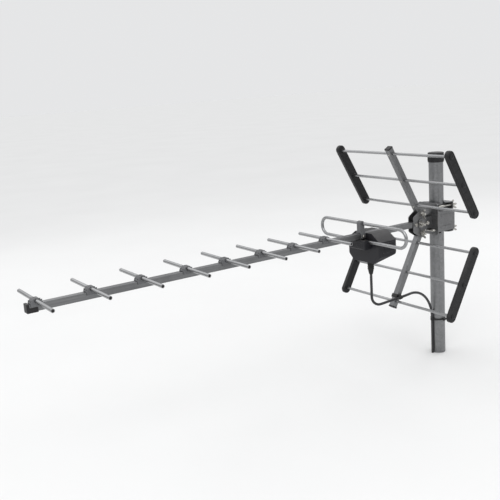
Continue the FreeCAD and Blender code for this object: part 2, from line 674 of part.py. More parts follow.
def knuckle(x0, x1, anchor):
    """A hinge knuckle with a web that reaches the piece it belongs to."""
    barrel = rod(KNUCKLE_R, at(x0, HINGE_Y, HINGE_LEVEL), at(x1, HINGE_Y, HINGE_LEVEL))
    return barrel.fuse(prism_x(anchor, x0, x1))


def make_box():
    outer = box_solid(0.0)
    upright = [
        e for e in outer.Edges
        if e.Length > 20 and abs(e.tangentAt(e.FirstParameter).z) > 0.95 and abs(e.BoundBox.XMin) > 50
    ]
    outer = outer.makeFillet(5.0, upright)
    shell = outer.cut(box_solid(BOX_WALL))
    shell = shell.fuse(rod(9.5, at(0, SOCKET_Y, BOSS_LEVEL), at(0, SOCKET_Y, -54.0)).cut(
        block(-20, 20, -270, -200, -54.0, 0)))
    # standoffs under the board
    for x in (-27.0, 27.0):
        for y in (-251.0, -221.0):
            post = rod(2.6, at(x, y, BOARD_LEVEL - 20), at(x, y, BOARD_LEVEL - SLIP))
            shell = shell.fuse(post.common(box_solid(0.5)))
    opening = block(-OPENING_HALF, OPENING_HALF, BOX_REAR - 4, BOX_REAR + 1, OPENING_LOW, OPENING_HIGH)
    shell = shell.cut(opening)
    shell = shell.cut(rod(4.85, at(0, SOCKET_Y, -80), at(0, SOCKET_Y, -40)))
    for y in BOX_SCREW_Y:
        shell = shell.cut(rod(BOX_SCREW_R + LOOSE, at(0, y, -14), at(0, y, 0)))
    for side in (-1, 1):
        x = side * TERMINAL_X
        hole = rod(TERMINAL_R + LOOSE, at(x, -270, DIPOLE_LOW_LEVEL), at(x, -255, DIPOLE_LOW_LEVEL))
        shell = shell.cut(hole)
        lo, hi = sorted((side * 34.0, side * 43.0))
        anchor = [
            (BOX_REAR - 1.5, HINGE_LEVEL - 1.0), (HINGE_Y, HINGE_LEVEL - KNUCKLE_R),
            (HINGE_Y, HINGE_LEVEL), (BOX_REAR - 1.5, HINGE_LEVEL + 3.5),
        ]
        shell = shell.fuse(knuckle(lo, hi, anchor))
    shell = shell.cut(rod(1.0 + SLIP, at(-50, HINGE_Y, HINGE_LEVEL), at(50, HINGE_Y, HINGE_LEVEL)))
    save("dipole_box", shell.removeSplitter())

    gap = 0.4
    face = BOX_REAR + SLIP
    lid = block(-OPENING_HALF - 4, OPENING_HALF + 4, face, face + 2.4, HINGE_LEVEL + 3.6, OPENING_HIGH + 3.0)
    lid = lid.makeFillet(1.0, [e for e in lid.Edges if e.BoundBox.YMin > face + 2.3])
    half = OPENING_HALF - gap
    rim = block(-half, half, face - 1.8, face + 0.5, OPENING_LOW + gap, OPENING_HIGH - gap)
    half = OPENING_HALF - 2
    rim = rim.cut(block(-half, half, face - 3, face, OPENING_LOW + 2, OPENING_HIGH - 2))
    lid = lid.fuse(rim)
    tab = block(-6, 6, face + 1.0, face + 5.0, OPENING_HIGH + 0.5, OPENING_HIGH + 2.0)
    lid = lid.fuse(tab)
    for side in (-1, 1):
        lo, hi = sorted((side * 24.0, side * 33.7))
        anchor = [
            (face + 0.2, HINGE_LEVEL + 4.5), (face + 0.4, HINGE_LEVEL + 0.5),
            (HINGE_Y, HINGE_LEVEL - 0.5), (face + 2.4, HINGE_LEVEL + 4.5),
        ]
        lid = lid.fuse(knuckle(lo, hi, anchor))
    lid = lid.cut(rod(1.0 + SLIP, at(-50, HINGE_Y, HINGE_LEVEL), at(50, HINGE_Y, HINGE_LEVEL)))
    save("dipole_box_lid", lid.removeSplitter())

    pins = []
    for side in (-1, 1):
        pins.append(rod(1.0, at(side * 24.5, HINGE_Y, HINGE_LEVEL), at(side * 42.5, HINGE_Y, HINGE_LEVEL)))
    save("lid_hinge_pins", pins)

    # the cover over the feed point, with slots where the dipole's two ends come in
    cover_front = -285.0
    cover_rear = BOX_FRONT - SLIP
    cover_low = -31.0
    cover_high = BOX_ROOF - 0.2
    wall = 2.0
    cover = block(-28, 28, cover_front, cover_rear, cover_low, cover_high)
    front_edges = [e for e in cover.Edges if e.BoundBox.YMax < cover_front + 0.1]
    cover = cover.makeFillet(3.5, front_edges)
    cover = cover.cut(block(-28 + wall, 28 - wall, cover_front + wall, cover_rear + 1,
                            cover_low + wall, cover_high + 5))
    roof = block(-28 + wall, 28 - wall, -282.5, -275.0, cover_high - 1.2, cover_high)
    cover = cover.fuse(roof)
    slot_half = DIPOLE_R + 0.15
    slot = block(-40, 40, DIPOLE_Y, BOX_FRONT + 5, DIPOLE_LOW_LEVEL - slot_half, DIPOLE_LOW_LEVEL + slot_half)
    slot = slot.fuse(rod(slot_half, at(-40, DIPOLE_Y, DIPOLE_LOW_LEVEL), at(40, DIPOLE_Y, DIPOLE_LOW_LEVEL)))
    save("feed_cover", cover.cut(slot).removeSplitter())


def make_inside():
    board = block(-32, 32, -256.0, -216.0, BOARD_LEVEL, BOARD_LEVEL + BOARD_THICK)
    board = board.cut(rod(0.9, at(0, SOCKET_Y, -60), at(0, SOCKET_Y, -30)))
    save("balun_board", board)

    seat = BOARD_LEVEL + BOARD_THICK + SLIP
    core = block(-7, 7, -232.0, -221.0, seat, seat + 8.0)
    core = core.makeFillet(3.0, [e for e in core.Edges if abs(e.tangentAt(e.FirstParameter).y) > 0.9])
    for x in (-3.2, 3.2):
        core = core.cut(rod(1.6, at(x, -240, seat + 4.0), at(x, -210, seat + 4.0)))
    save("balun_core", core)

    screws = []
    straps = []
    strap_rear = BOX_FRONT + BOX_WALL + SLIP + 0.8
    for side in (-1, 1):
        x = side * TERMINAL_X
        head_seat = DIPOLE_Y - DIPOLE_R - SLIP
        shank = rod(TERMINAL_R, at(x, head_seat - 1, DIPOLE_LOW_LEVEL), at(x, -252.0, DIPOLE_LOW_LEVEL))
        head = rod(3.8, at(x, head_seat - 2.6, DIPOLE_LOW_LEVEL), at(x, head_seat, DIPOLE_LOW_LEVEL))
        head = head.cut(block(x - 4, x + 4, head_seat - 3, head_seat - 1.6,
                              DIPOLE_LOW_LEVEL - 0.5, DIPOLE_LOW_LEVEL + 0.5))
        screws.append(shank.fuse(head))
        screws.append(nut(TERMINAL_R, 7.0, 3.0, at(x, strap_rear + SLIP, DIPOLE_LOW_LEVEL), Y_AXIS))
        strap = block(x - 3.5, x + 3.5, strap_rear - 0.8, strap_rear, seat, DIPOLE_LOW_LEVEL + 4)
        strap = strap.fuse(block(x - 3.5, x + 3.5, strap_rear - 0.8, -250.0, seat, seat + 0.8))
        hole = rod(TERMINAL_R + LOOSE, at(x, -265, DIPOLE_LOW_LEVEL), at(x, -250, DIPOLE_LOW_LEVEL))
        strap = strap.cut(hole)
        straps.append(strap.removeSplitter())
    save("terminal_screws", screws)
    save("terminal_straps", straps)

    barrel_r = 4.7
    mouth = -77.0
    flange_level = -54.0 + SLIP
    socket = rod(barrel_r, at(0, SOCKET_Y, mouth), at(0, SOCKET_Y, -50.0))
    socket = socket.fuse(rod(7.0, at(0, SOCKET_Y, flange_level), at(0, SOCKET_Y, flange_level + 2.5)))
    socket = socket.fuse(rod(0.7, at(0, SOCKET_Y, -52.0), at(0, SOCKET_Y, -38.5)))
    socket = socket.cut(rod(0.9, at(0, SOCKET_Y, mouth - 1), at(0, SOCKET_Y, -62.0)))
    ring_top = at(0, SOCKET_Y, BOSS_LEVEL - SLIP)
    ring = nut(barrel_r, 11.0, 2.2, ring_top, Vector(0, 0, -1))
    save("f_socket", [socket, ring])

    plug = hexagon(11.0, at(0, SOCKET_Y, -79.5), at(0, SOCKET_Y, -68.0))
    plug = plug.cut(rod(barrel_r + SLIP, at(0, SOCKET_Y, -78.0), at(0, SOCKET_Y, -60.0)))
    plug = plug.fuse(rod(4.6, at(0, SOCKET_Y, -88.0), at(0, SOCKET_Y, -79.0)))
    plug = plug.cut(rod(CABLE_R + SLIP, at(0, SOCKET_Y, -90.0), at(0, SOCKET_Y, -80.5)))
    plug = plug.cut(rod(0.9, at(0, SOCKET_Y, -82.0), at(0, SOCKET_Y, -70.0)))
    pin = rod(0.5, at(0, SOCKET_Y, -80.45), at(0, SOCKET_Y, -66.0))
    save("f_plug", [plug.removeSplitter(), pin])

    # a turned rubber sleeve: full over the plug, drawn in to the cable below it
    profile = [
        (6.6, -66.0), (7.6, -66.0), (7.6, -90.0), (7.0, -93.0), (5.0, -103.0), (CABLE_R + 0.1, -103.0),
        (CABLE_R + 0.1, -90.0), (6.6, -89.0),
    ]
    wire = Part.makePolygon([at(r, SOCKET_Y, level) for r, level in profile + profile[:1]])
    boot = Part.Face(wire).revolve(at(0, SOCKET_Y, 0), Z_AXIS, 360)
    save("weather_boot", Part.Solid(boot) if not boot.Solids else boot)


# ---- cable ----
CLIP_S = 178.0  # distance of the cable clip from the lower panel's pivot
CLIP_X = 14.6
SAG_LEVEL = -191.0
LOOP_TOP_LEVEL = -177.0
LOOP_BEND = 94.0


def clip_centre():
    lean = math.radians(PANEL_LEAN)
    y = PANEL_PIVOT_Y - CLIP_S * math.sin(lean)
    level = -PANEL_PIVOT_LEVEL - CLIP_S * math.cos(lean)
    return at(CLIP_X, y, level)


def clip_way():
    """The direction the cable runs through its clip: straight on from the bottom of the drop."""
    return (clip_centre() - at(0, SOCKET_Y, SAG_LEVEL)).normalize()


def make_cable():
    tie_level = TIE_Z - BOOM_Z
    clip = clip_centre()
    drop = [at(0, SOCKET_Y, -80.55), at(0, SOCKET_Y, SAG_LEVEL), clip]
    save("coax_drop", cable_run(drop, [24.0], CABLE_R))
    loop = [clip, clip + clip_way() * 12.0, at(0, DOWNLEAD_Y, LOOP_TOP_LEVEL), at(0, DOWNLEAD_Y, tie_level)]
    save("coax_loop", cable_run(loop, [40.0, LOOP_BEND], CABLE_R))
    save("coax_downlead", rod(CABLE_R, at(0, DOWNLEAD_Y, -BOOM_Z), at(0, DOWNLEAD_Y, tie_level)))


# ---- reflector panels ----
def panel_place(shape, upper):
    """Moves a piece built upright with its pivot at the origin onto its hinge, leaning forward."""
    turn = PANEL_LEAN if upper else 180.0 - PANEL_LEAN
    level = PANEL_PIVOT_LEVEL if upper else -PANEL_PIVOT_LEVEL
    moved = shape.copy()
    moved.Placement = FreeCAD.Placement(at(0, PANEL_PIVOT_Y, level), FreeCAD.Rotation(X_AXIS, turn))
    return moved


def make_panel(name, upper):
    root = 9.0
    arm = square_tube(BOOM_HALF, BOOM_WALL, Vector(0, 0, -root), Vector(0, 0, ARM_LENGTH))
    arm = arm.cut(rod(BOLT_R + RUNNING, Vector(-20, 0, 0), Vector(20, 0, 0)))
    for s in ROD_S:
        arm = arm.cut(rod(ROD_R + SLIP, Vector(-20, 0, s), Vector(20, 0, s)))
    save("%s_arm" % name, panel_place(arm, upper))

    plug_half = BOOM_HALF - BOOM_WALL - SLIP
    head_half = BOOM_HALF + 0.6
    plug = Part.makeBox(2 * plug_half, 2 * plug_half, 8.0, Vector(-plug_half, -plug_half, ARM_LENGTH - 7.8))
    head = Part.makeBox(2 * head_half, 2 * head_half, 4.0, Vector(-head_half, -head_half, ARM_LENGTH + SLIP))
    head = head.makeFillet(1.5, [e for e in head.Edges if e.BoundBox.ZMax > ARM_LENGTH + 1])
    save("%s_arm_cap" % name, panel_place(head.fuse(plug).removeSplitter(), upper))

    rods = []
    for s in ROD_S:
        rods.append(pipe(ROD_R, ROD_R - 0.8, Vector(-ROD_HALF, 0, s), Vector(ROD_HALF, 0, s)))
    save("%s_rods" % name, [panel_place(r, upper) for r in rods])

    # the strips run one rounded end past the outermost rods
    strips = []
    low = ROD_S[0] - 3.0
    high = ROD_S[-1] + 3.0
    outer_x = ROD_HALF + 2.0
    for side in (-1, 1):
        lo, hi = sorted((side * (outer_x - STRIP_THICK), side * outer_x))
        strip = Part.makeBox(hi - lo, 2 * STRIP_HALF_WIDTH, high - low, Vector(lo, -STRIP_HALF_WIDTH, low))
        for s in (low, high):
            strip = strip.fuse(rod(STRIP_HALF_WIDTH, Vector(lo, 0, s), Vector(hi, 0, s)))
        strip = strip.removeSplitter()
        rims = [e for e in strip.Edges if e.BoundBox.XLength < 0.01]
        strip = strip.makeFillet(2.0, rims)
        for s in ROD_S:
            deep = side * (ROD_HALF + 0.1)
            strip = strip.cut(rod(ROD_R + SLIP, Vector(side * 150, 0, s), Vector(deep, 0, s)))
        strips.append(panel_place(strip, upper))
    save("%s_end_strips" % name, strips)


def make_cable_clip():
    """A spring clip pushed over the lower arm, with an open ring for the cable on its +X side."""
    arm_half = BOOM_HALF + SLIP
    skin = arm_half + 1.6
    half = 5.0
    clip = Part.makeBox(2 * skin, 2 * skin, 2 * half, Vector(-skin, -skin, CLIP_S - half))
    corner = Vector(-arm_half, -arm_half, CLIP_S - half)
    clip = clip.cut(Part.makeBox(2 * arm_half, 2 * arm_half, 2 * half, corner))
    corner = Vector(-skin - 1, -arm_half + 2, CLIP_S - half)
    clip = clip.cut(Part.makeBox(5.0, 2 * arm_half - 4, 2 * half, corner))
    clip = panel_place(clip, False)
    centre = clip_centre()
    along = clip_way()
    reach = along * 4.0
    ring = rod(CABLE_R + 1.8, centre - reach, centre + reach)
    hole = rod(CABLE_R + 0.12, centre - along * 9.0, centre + along * 9.0)
    mouth = Part.makeBox(8.0, 20.0, 4.0, centre + Vector(1.5, -10, -2.0))
    ring = ring.cut(hole).cut(mouth)
    neck_start = centre - Vector(CLIP_X - arm_half - 0.3, 0, 0)
    neck = rod(4.2, neck_start, centre - Vector(CABLE_R + 0.6, 0, 0)).cut(hole)
    save("cable_clip", clip.fuse(ring).fuse(neck).removeSplitter())


def make_all():
    os.makedirs("parts", exist_ok=True)
    make_mast()
    make_mast_tie()
    make_clamp()
    make_boom()
    make_hinge_plates()
    make_directors()
    make_dipole()
    make_box()
    make_inside()
    make_cable()
    make_panel("upper", True)
    make_panel("lower", False)
    make_cable_clip()


make_all()
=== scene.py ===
"""Looks of the corner-reflector yagi antenna: materials, small moulded and threaded detail, a curved
cable, studio and camera. Everything is in metres in the CAD frame: +Z up the mast, -Y the way the
antenna looks, origin at the mast's foot."""
import json
import math

import bpy
from mathutils import Matrix, Vector


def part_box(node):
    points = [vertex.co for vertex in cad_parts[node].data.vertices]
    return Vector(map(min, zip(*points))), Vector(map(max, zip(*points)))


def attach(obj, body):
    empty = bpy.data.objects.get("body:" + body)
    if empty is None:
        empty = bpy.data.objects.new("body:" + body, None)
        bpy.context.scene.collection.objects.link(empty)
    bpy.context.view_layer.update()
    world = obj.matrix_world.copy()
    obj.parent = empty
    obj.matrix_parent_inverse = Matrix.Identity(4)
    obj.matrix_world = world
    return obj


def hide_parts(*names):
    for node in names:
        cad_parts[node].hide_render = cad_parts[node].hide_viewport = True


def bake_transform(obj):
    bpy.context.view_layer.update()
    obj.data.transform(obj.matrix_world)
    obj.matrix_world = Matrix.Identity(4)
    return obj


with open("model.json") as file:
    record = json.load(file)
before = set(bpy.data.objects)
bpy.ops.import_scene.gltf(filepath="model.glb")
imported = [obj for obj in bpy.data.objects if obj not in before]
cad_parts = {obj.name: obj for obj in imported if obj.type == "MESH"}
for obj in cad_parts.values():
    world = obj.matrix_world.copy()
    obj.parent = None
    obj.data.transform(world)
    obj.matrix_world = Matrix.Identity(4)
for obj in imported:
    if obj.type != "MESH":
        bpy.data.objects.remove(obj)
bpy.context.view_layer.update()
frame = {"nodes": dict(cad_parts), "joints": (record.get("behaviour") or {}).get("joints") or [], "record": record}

# ---- places and sizes read from the CAD model ----
MM = 0.001
X = Vector((1, 0, 0))
Y = Vector((0, 1, 0))
Z = Vector((0, 0, 1))
SIDES = (-1, 1)
joints = {j["name"]: j for j in frame["joints"]}


def lowest(node):
    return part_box(node)[0]


def highest(node):
    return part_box(node)[1]


def middle(node):
    return (lowest(node) + highest(node)) / 2


def radius_of(node):
    return (highest(node).x - lowest(node).x) / 2


def pivot(name):
    return Vector(joints[name]["pos_m"])


def level(above_boom_mm):
    """The height of a point this many millimetres above the boom's axis."""
    return middle("boom_tube").z + above_boom_mm * MM


MAST_R = radius_of("mast_tube")
CABLE_R = radius_of("coax_downlead")
DOWNLEAD_Y = middle("coax_downlead").y
PLUG_Y = middle("f_plug").y
WING_NUTS = ["clamp_wing_nut_%d" % number for number in range(1, 5)]
DIRECTORS = ["director_%d" % number for number in range(1, 9)]


# ---- materials ----
class Nodes:
    """A small builder for one material's node tree."""

    def __init__(self, name):
        self.material = bpy.data.materials.new(name)
        self.material.use_nodes = True
        self.tree = self.material.node_tree
        self.tree.nodes.clear()
        self.output = self.tree.nodes.new("ShaderNodeOutputMaterial")
        self.shader = self.tree.nodes.new("ShaderNodeBsdfPrincipled")
        self.link(self.shader.outputs["BSDF"], self.output.inputs["Surface"])
        self.place = self.tree.nodes.new("ShaderNodeTexCoord").outputs["Object"]

    def link(self, source, target):
        self.tree.links.new(source, target)

    def feed(self, source, target):
        if isinstance(source, (int, float)):
            target.default_value = source
        elif isinstance(source, (tuple, list)):
            target.default_value = (*source, 1.0) if len(source) == 3 else source
        else:
            self.link(source, target)

    def stretch(self, scale):
        node = self.tree.nodes.new("ShaderNodeMapping")
        self.link(self.place, node.inputs["Vector"])
        node.inputs["Scale"].default_value = scale
        return node.outputs["Vector"]

    def noise(self, scale, detail=4.0, roughness=0.55, vector=None):
        node = self.tree.nodes.new("ShaderNodeTexNoise")
        self.link(vector or self.place, node.inputs["Vector"])
        node.inputs["Scale"].default_value = scale
        node.inputs["Detail"].default_value = detail
        node.inputs["Roughness"].default_value = roughness
        return node.outputs["Fac"]

    def crystals(self, scale):
        """One shade of grey for each cell."""
        node = self.tree.nodes.new("ShaderNodeTexVoronoi")
        self.link(self.place, node.inputs["Vector"])
        node.inputs["Scale"].default_value = scale
        grey = self.tree.nodes.new("ShaderNodeRGBToBW")
        self.link(node.outputs["Color"], grey.inputs[0])
        return grey.outputs[0]

    def remap(self, value, low, high, to_low, to_high):
        node = self.tree.nodes.new("ShaderNodeMapRange")
        self.feed(value, node.inputs["Value"])
        node.inputs["From Min"].default_value = low
        node.inputs["From Max"].default_value = high
        node.inputs["To Min"].default_value = to_low
        node.inputs["To Max"].default_value = to_high
        return node.outputs["Result"]

    def maths(self, operation, a, b):
        node = self.tree.nodes.new("ShaderNodeMath")
        node.operation = operation
        self.feed(a, node.inputs[0])
        self.feed(b, node.inputs[1])
        return node.outputs[0]

    def mix(self, factor, a, b):
        node = self.tree.nodes.new("ShaderNodeMix")
        node.data_type = "RGBA"
        self.feed(factor, node.inputs[0])
        self.feed(a, node.inputs[6])
        self.feed(b, node.inputs[7])
        return node.outputs[2]

    def soft_edges(self, radius):
        """A normal that rounds sharp edges over this radius."""
        node = self.tree.nodes.new("ShaderNodeBevel")
        node.samples = 4
        node.inputs["Radius"].default_value = radius
        return node.outputs["Normal"]

    def edge_mask(self, rounded, strength):
        """1 where the rounded normal leaves the true one, 0 on open faces."""
        geometry = self.tree.nodes.new("ShaderNodeNewGeometry")
        dot = self.tree.nodes.new("ShaderNodeVectorMath")
        dot.operation = "DOT_PRODUCT"
        self.link(rounded, dot.inputs[0])
        self.link(geometry.outputs["Normal"], dot.inputs[1])
        return self.remap(dot.outputs["Value"], 1.0, 1.0 - strength, 0.0, 1.0)

    def facing_up(self):
        geometry = self.tree.nodes.new("ShaderNodeNewGeometry")
        split = self.tree.nodes.new("ShaderNodeSeparateXYZ")
        self.link(geometry.outputs["Normal"], split.inputs[0])
        return self.remap(split.outputs["Z"], 0.2, 1.0, 0.0, 1.0)

    def bump(self, height, strength, distance, normal=None):
        node = self.tree.nodes.new("ShaderNodeBump")
        self.link(height, node.inputs["Height"])
        node.inputs["Strength"].default_value = strength
        node.inputs["Distance"].default_value = distance
        if normal is not None:
            self.link(normal, node.inputs["Normal"])
        return node.outputs["Normal"]

    def finish(self, colour, roughness, metallic, normal):
        self.feed(colour, self.shader.inputs["Base Color"])
        self.feed(roughness, self.shader.inputs["Roughness"])
        self.feed(metallic, self.shader.inputs["Metallic"])
        self.link(normal, self.shader.inputs["Normal"])
        return self.material


DUST = (0.45, 0.43, 0.40)
STAIN = (0.36, 0.33, 0.27)


def times(factor, colour):
    return tuple(min(1.0, factor * c) for c in colour)


def drawn_metal(name, light, dark, stretch, rough):
    """Drawn aluminium: streaks along the piece, dull oxide patches, fine scratches, brighter worn edges."""
    n = Nodes(name)
    along = n.stretch(stretch)
    streak = n.noise(260.0, 6.0, 0.65, along)
    fine = n.noise(900.0, 3.0, 0.6, along)
    patch = n.noise(14.0, 5.0, 0.6)
    speck = n.noise(420.0, 2.0, 0.5)
    base = n.mix(n.remap(streak, 0.35, 0.68, 0.0, 1.0), dark, light)
    base = n.mix(n.remap(patch, 0.48, 0.72, 0.0, 0.55), base, times(0.80, dark))
    base = n.mix(n.remap(speck, 0.66, 0.74, 0.0, 0.4), base, times(0.6, dark))
    rounded = n.soft_edges(0.0006)
    edge = n.edge_mask(rounded, 0.12)
    base = n.mix(n.maths("MULTIPLY", edge, 0.6), base, times(1.18, light))
    roughness = n.maths("ADD", n.remap(streak, 0.3, 0.7, rough - 0.07, rough + 0.08),
                        n.remap(patch, 0.45, 0.75, 0.0, 0.16))
    normal = n.bump(fine, 0.12, 0.0004, rounded)
    return n.finish(base, roughness, 0.94, normal)


def zinc_metal(name, light, dark, spangle, rough):
    """Zinc-coated steel: crystal spangle, cloudy bloom, a few darker rubs."""
    n = Nodes(name)
    warp = n.noise(60.0, 3.0, 0.5)
    flake = n.crystals(spangle)
    bloom = n.noise(22.0, 6.0, 0.62)
    rub = n.noise(150.0, 4.0, 0.6, n.stretch((1.0, 1.0, 0.18)))
    base = n.mix(n.remap(flake, 0.2, 0.8, 0.0, 1.0), dark, light)
    halfway = tuple((a + b) / 2 for a, b in zip(light, dark))
    base = n.mix(n.remap(bloom, 0.42, 0.7, 0.0, 0.6), base, times(0.9, halfway))
    base = n.mix(n.remap(rub, 0.60, 0.74, 0.0, 0.55), base, times(0.62, dark))
    rounded = n.soft_edges(0.0006)
    edge = n.edge_mask(rounded, 0.12)
    base = n.mix(n.maths("MULTIPLY", edge, 0.5), base, times(1.2, light))
    roughness = n.maths("ADD", n.remap(flake, 0.2, 0.8, rough - 0.06, rough + 0.06),
                        n.remap(bloom, 0.4, 0.7, 0.0, 0.14))
    height = n.maths("ADD", n.maths("MULTIPLY", warp, 0.6), n.maths("MULTIPLY", flake, 0.25))
    normal = n.bump(height, 0.16, 0.0006, rounded)
    return n.finish(base, roughness, 0.9, normal)


def plated_metal(name, light, dark, rough):
    """Bright zinc plating on small fasteners: a cloudy film, fine tool marks and paler rubbed edges."""
    n = Nodes(name)
    film = n.noise(130.0, 5.0, 0.6)
    mark = n.noise(1400.0, 2.0, 0.5, n.stretch((1.0, 1.0, 0.3)))
    stain = n.noise(40.0, 4.0, 0.55)
    base = n.mix(n.remap(film, 0.35, 0.68, 0.0, 1.0), dark, light)
    base = n.mix(n.remap(stain, 0.55, 0.75, 0.0, 0.4), base, STAIN)
    rounded = n.soft_edges(0.0004)
    edge = n.edge_mask(rounded, 0.12)
    base = n.mix(n.maths("MULTIPLY", edge, 0.5), base, times(1.25, light))
    roughness = n.remap(film, 0.3, 0.7, rough - 0.05, rough + 0.10)
    normal = n.bump(mark, 0.06, 0.0002, rounded)
    return n.finish(base, roughness, 0.95, normal)


def moulded_plastic(name, colour, grain, rough, dust=0.10):
    """Moulded plastic: spark-eroded grain, slight colour drift, dust on upper faces, paler rubbed edges."""
    n = Nodes(name)
    pores = n.noise(grain, 2.0, 0.6)
    cloud = n.noise(18.0, 5.0, 0.6)
    scuff = n.noise(320.0, 4.0, 0.7, n.stretch((1.0, 0.12, 0.5)))
    base = n.mix(n.remap(cloud, 0.35, 0.7, 0.0, 1.0), times(0.85, colour), times(1.2, colour))
    pale = tuple(min(1.0, 0.07 + 1.25 * c) for c in colour)
    base = n.mix(n.remap(scuff, 0.64, 0.76, 0.0, 0.28), base, pale)
    dusty = n.maths("MULTIPLY", n.facing_up(), n.remap(cloud, 0.4, 0.75, 0.35 * dust, dust))
    base = n.mix(dusty, base, DUST)
    rounded = n.soft_edges(0.0007)
    edge = n.edge_mask(rounded, 0.15)
    base = n.mix(n.maths("MULTIPLY", edge, 0.35), base, pale)
    roughness = n.maths("ADD", n.remap(cloud, 0.3, 0.7, rough - 0.05, rough + 0.07),
                        n.remap(pores, 0.4, 0.6, -0.03, 0.05))
    normal = n.bump(pores, 0.22, 0.0003, rounded)
    n.shader.inputs["Specular IOR Level"].default_value = 0.32
    return n.finish(base, roughness, 0.0, normal)


def sheath(name, colour, rough):
    """Extruded cable sheath: faint draw lines, small ripples, handling marks."""
    n = Nodes(name)
    lines = n.noise(700.0, 3.0, 0.6, n.stretch((1.0, 1.0, 0.05)))
    ripple = n.noise(120.0, 3.0, 0.5)
    mark = n.noise(45.0, 6.0, 0.7)
    base = n.mix(n.remap(mark, 0.5, 0.75, 0.0, 0.5), colour, tuple(0.06 + 1.4 * c for c in colour))
    wear = n.maths("ADD", lines, n.maths("MULTIPLY", mark, 0.6))
    roughness = n.remap(wear, 0.6, 1.1, rough - 0.08, rough + 0.12)
    height = n.maths("ADD", n.maths("MULTIPLY", lines, 0.4), ripple)
    normal = n.bump(height, 0.12, 0.0005, n.soft_edges(0.0004))
    return n.finish(base, roughness, 0.0, normal)


def plain_part(name, colour, second, rough, metallic):
    """Small hidden parts: two tones in a fine cloud, with a light grain."""
    n = Nodes(name)
    cloud = n.noise(70.0, 5.0, 0.6)
    fine = n.noise(600.0, 3.0, 0.6)
    base = n.mix(n.remap(cloud, 0.35, 0.68, 0.0, 1.0), colour, second)
    base = n.mix(n.remap(fine, 0.62, 0.75, 0.0, 0.4), base, times(0.6, colour))
    roughness = n.remap(fine, 0.35, 0.65, rough - 0.07, rough + 0.09)
    normal = n.bump(fine, 0.15, 0.0003, n.soft_edges(0.0003))
    return n.finish(base, roughness, metallic, normal)


def floor_material():
    n = Nodes("studio_floor")
    broad = n.noise(2.0, 4.0, 0.5)
    fine = n.noise(180.0, 3.0, 0.6)
    base = n.mix(n.remap(broad, 0.3, 0.7, 0.0, 1.0), (0.79, 0.79, 0.785), (0.81, 0.81, 0.805))
    normal = n.bump(fine, 0.05, 0.0005)
    n.shader.inputs["Specular IOR Level"].default_value = 0.0
    return n.finish(base, n.remap(fine, 0.3, 0.7, 0.72, 0.82), 0.0, normal)


ALONG_X = (0.02, 1.0, 1.0)
ALONG_Y = (1.0, 0.02, 1.0)
ALONG_Z = (1.0, 1.0, 0.02)
TUBE_LIGHT = (0.225, 0.228, 0.232)
TUBE_DARK = (0.16, 0.162, 0.166)
ROD_LIGHT = (0.39, 0.393, 0.398)
ROD_DARK = (0.285, 0.288, 0.293)
MATERIALS = {
    "mast_steel": zinc_metal("mast_steel", (0.265, 0.268, 0.273), (0.21, 0.213, 0.218), 190.0, 0.38),
    "black_plastic": moulded_plastic("black_plastic", (0.014, 0.014, 0.015), 1500.0, 0.48),
    "cable_jacket": sheath("cable_jacket", (0.016, 0.016, 0.018), 0.36),
    "clamp_steel": zinc_metal("clamp_steel", (0.225, 0.226, 0.23), (0.165, 0.166, 0.17), 420.0, 0.36),
    "zinc_steel": plated_metal("zinc_steel", (0.52, 0.51, 0.48), (0.44, 0.43, 0.405), 0.26),
    "boom_aluminium": drawn_metal("boom_aluminium", TUBE_LIGHT, TUBE_DARK, ALONG_Y, 0.32),
    "element_aluminium": drawn_metal("element_aluminium", ROD_LIGHT, ROD_DARK, ALONG_X, 0.27),
    "grey_plastic": moulded_plastic("grey_plastic", (0.115, 0.117, 0.122), 1300.0, 0.50),
    "box_plastic": moulded_plastic("box_plastic", (0.012, 0.012, 0.015), 1100.0, 0.44),
    "strip_plastic": moulded_plastic("strip_plastic", (0.011, 0.011, 0.012), 1200.0, 0.46),
    "circuit_board": plain_part("circuit_board", (0.02, 0.13, 0.05), (0.03, 0.17, 0.07), 0.35, 0.0),
    "ferrite": plain_part("ferrite", (0.04, 0.04, 0.045), (0.07, 0.07, 0.075), 0.55, 0.0),
    "brass": plain_part("brass", (0.62, 0.44, 0.17), (0.50, 0.34, 0.13), 0.28, 0.95),
    "nickel": plain_part("nickel", (0.62, 0.60, 0.56), (0.50, 0.49, 0.46), 0.22, 0.95),
    "boot_rubber": moulded_plastic("boot_rubber", (0.016, 0.016, 0.016), 900.0, 0.66),
    "copper": plain_part("copper", (0.70, 0.30, 0.16), (0.58, 0.22, 0.11), 0.27, 0.95),
    "solder": plain_part("solder", (0.60, 0.61, 0.62), (0.45, 0.46, 0.47), 0.25, 0.95),
    "dielectric": moulded_plastic("dielectric", (0.75, 0.75, 0.72), 900.0, 0.45, 0.03),
}
UPRIGHT_ARM = drawn_metal("arm_aluminium", TUBE_LIGHT, TUBE_DARK, ALONG_Z, 0.32)

for entry in frame["record"]["subparts"]:
    node = frame["nodes"][entry["node"]]
    material = UPRIGHT_ARM if entry["node"].endswith("_arm") else MATERIALS[entry["material_slot"]]
    node.data.materials.clear()
    node.data.materials.append(material)


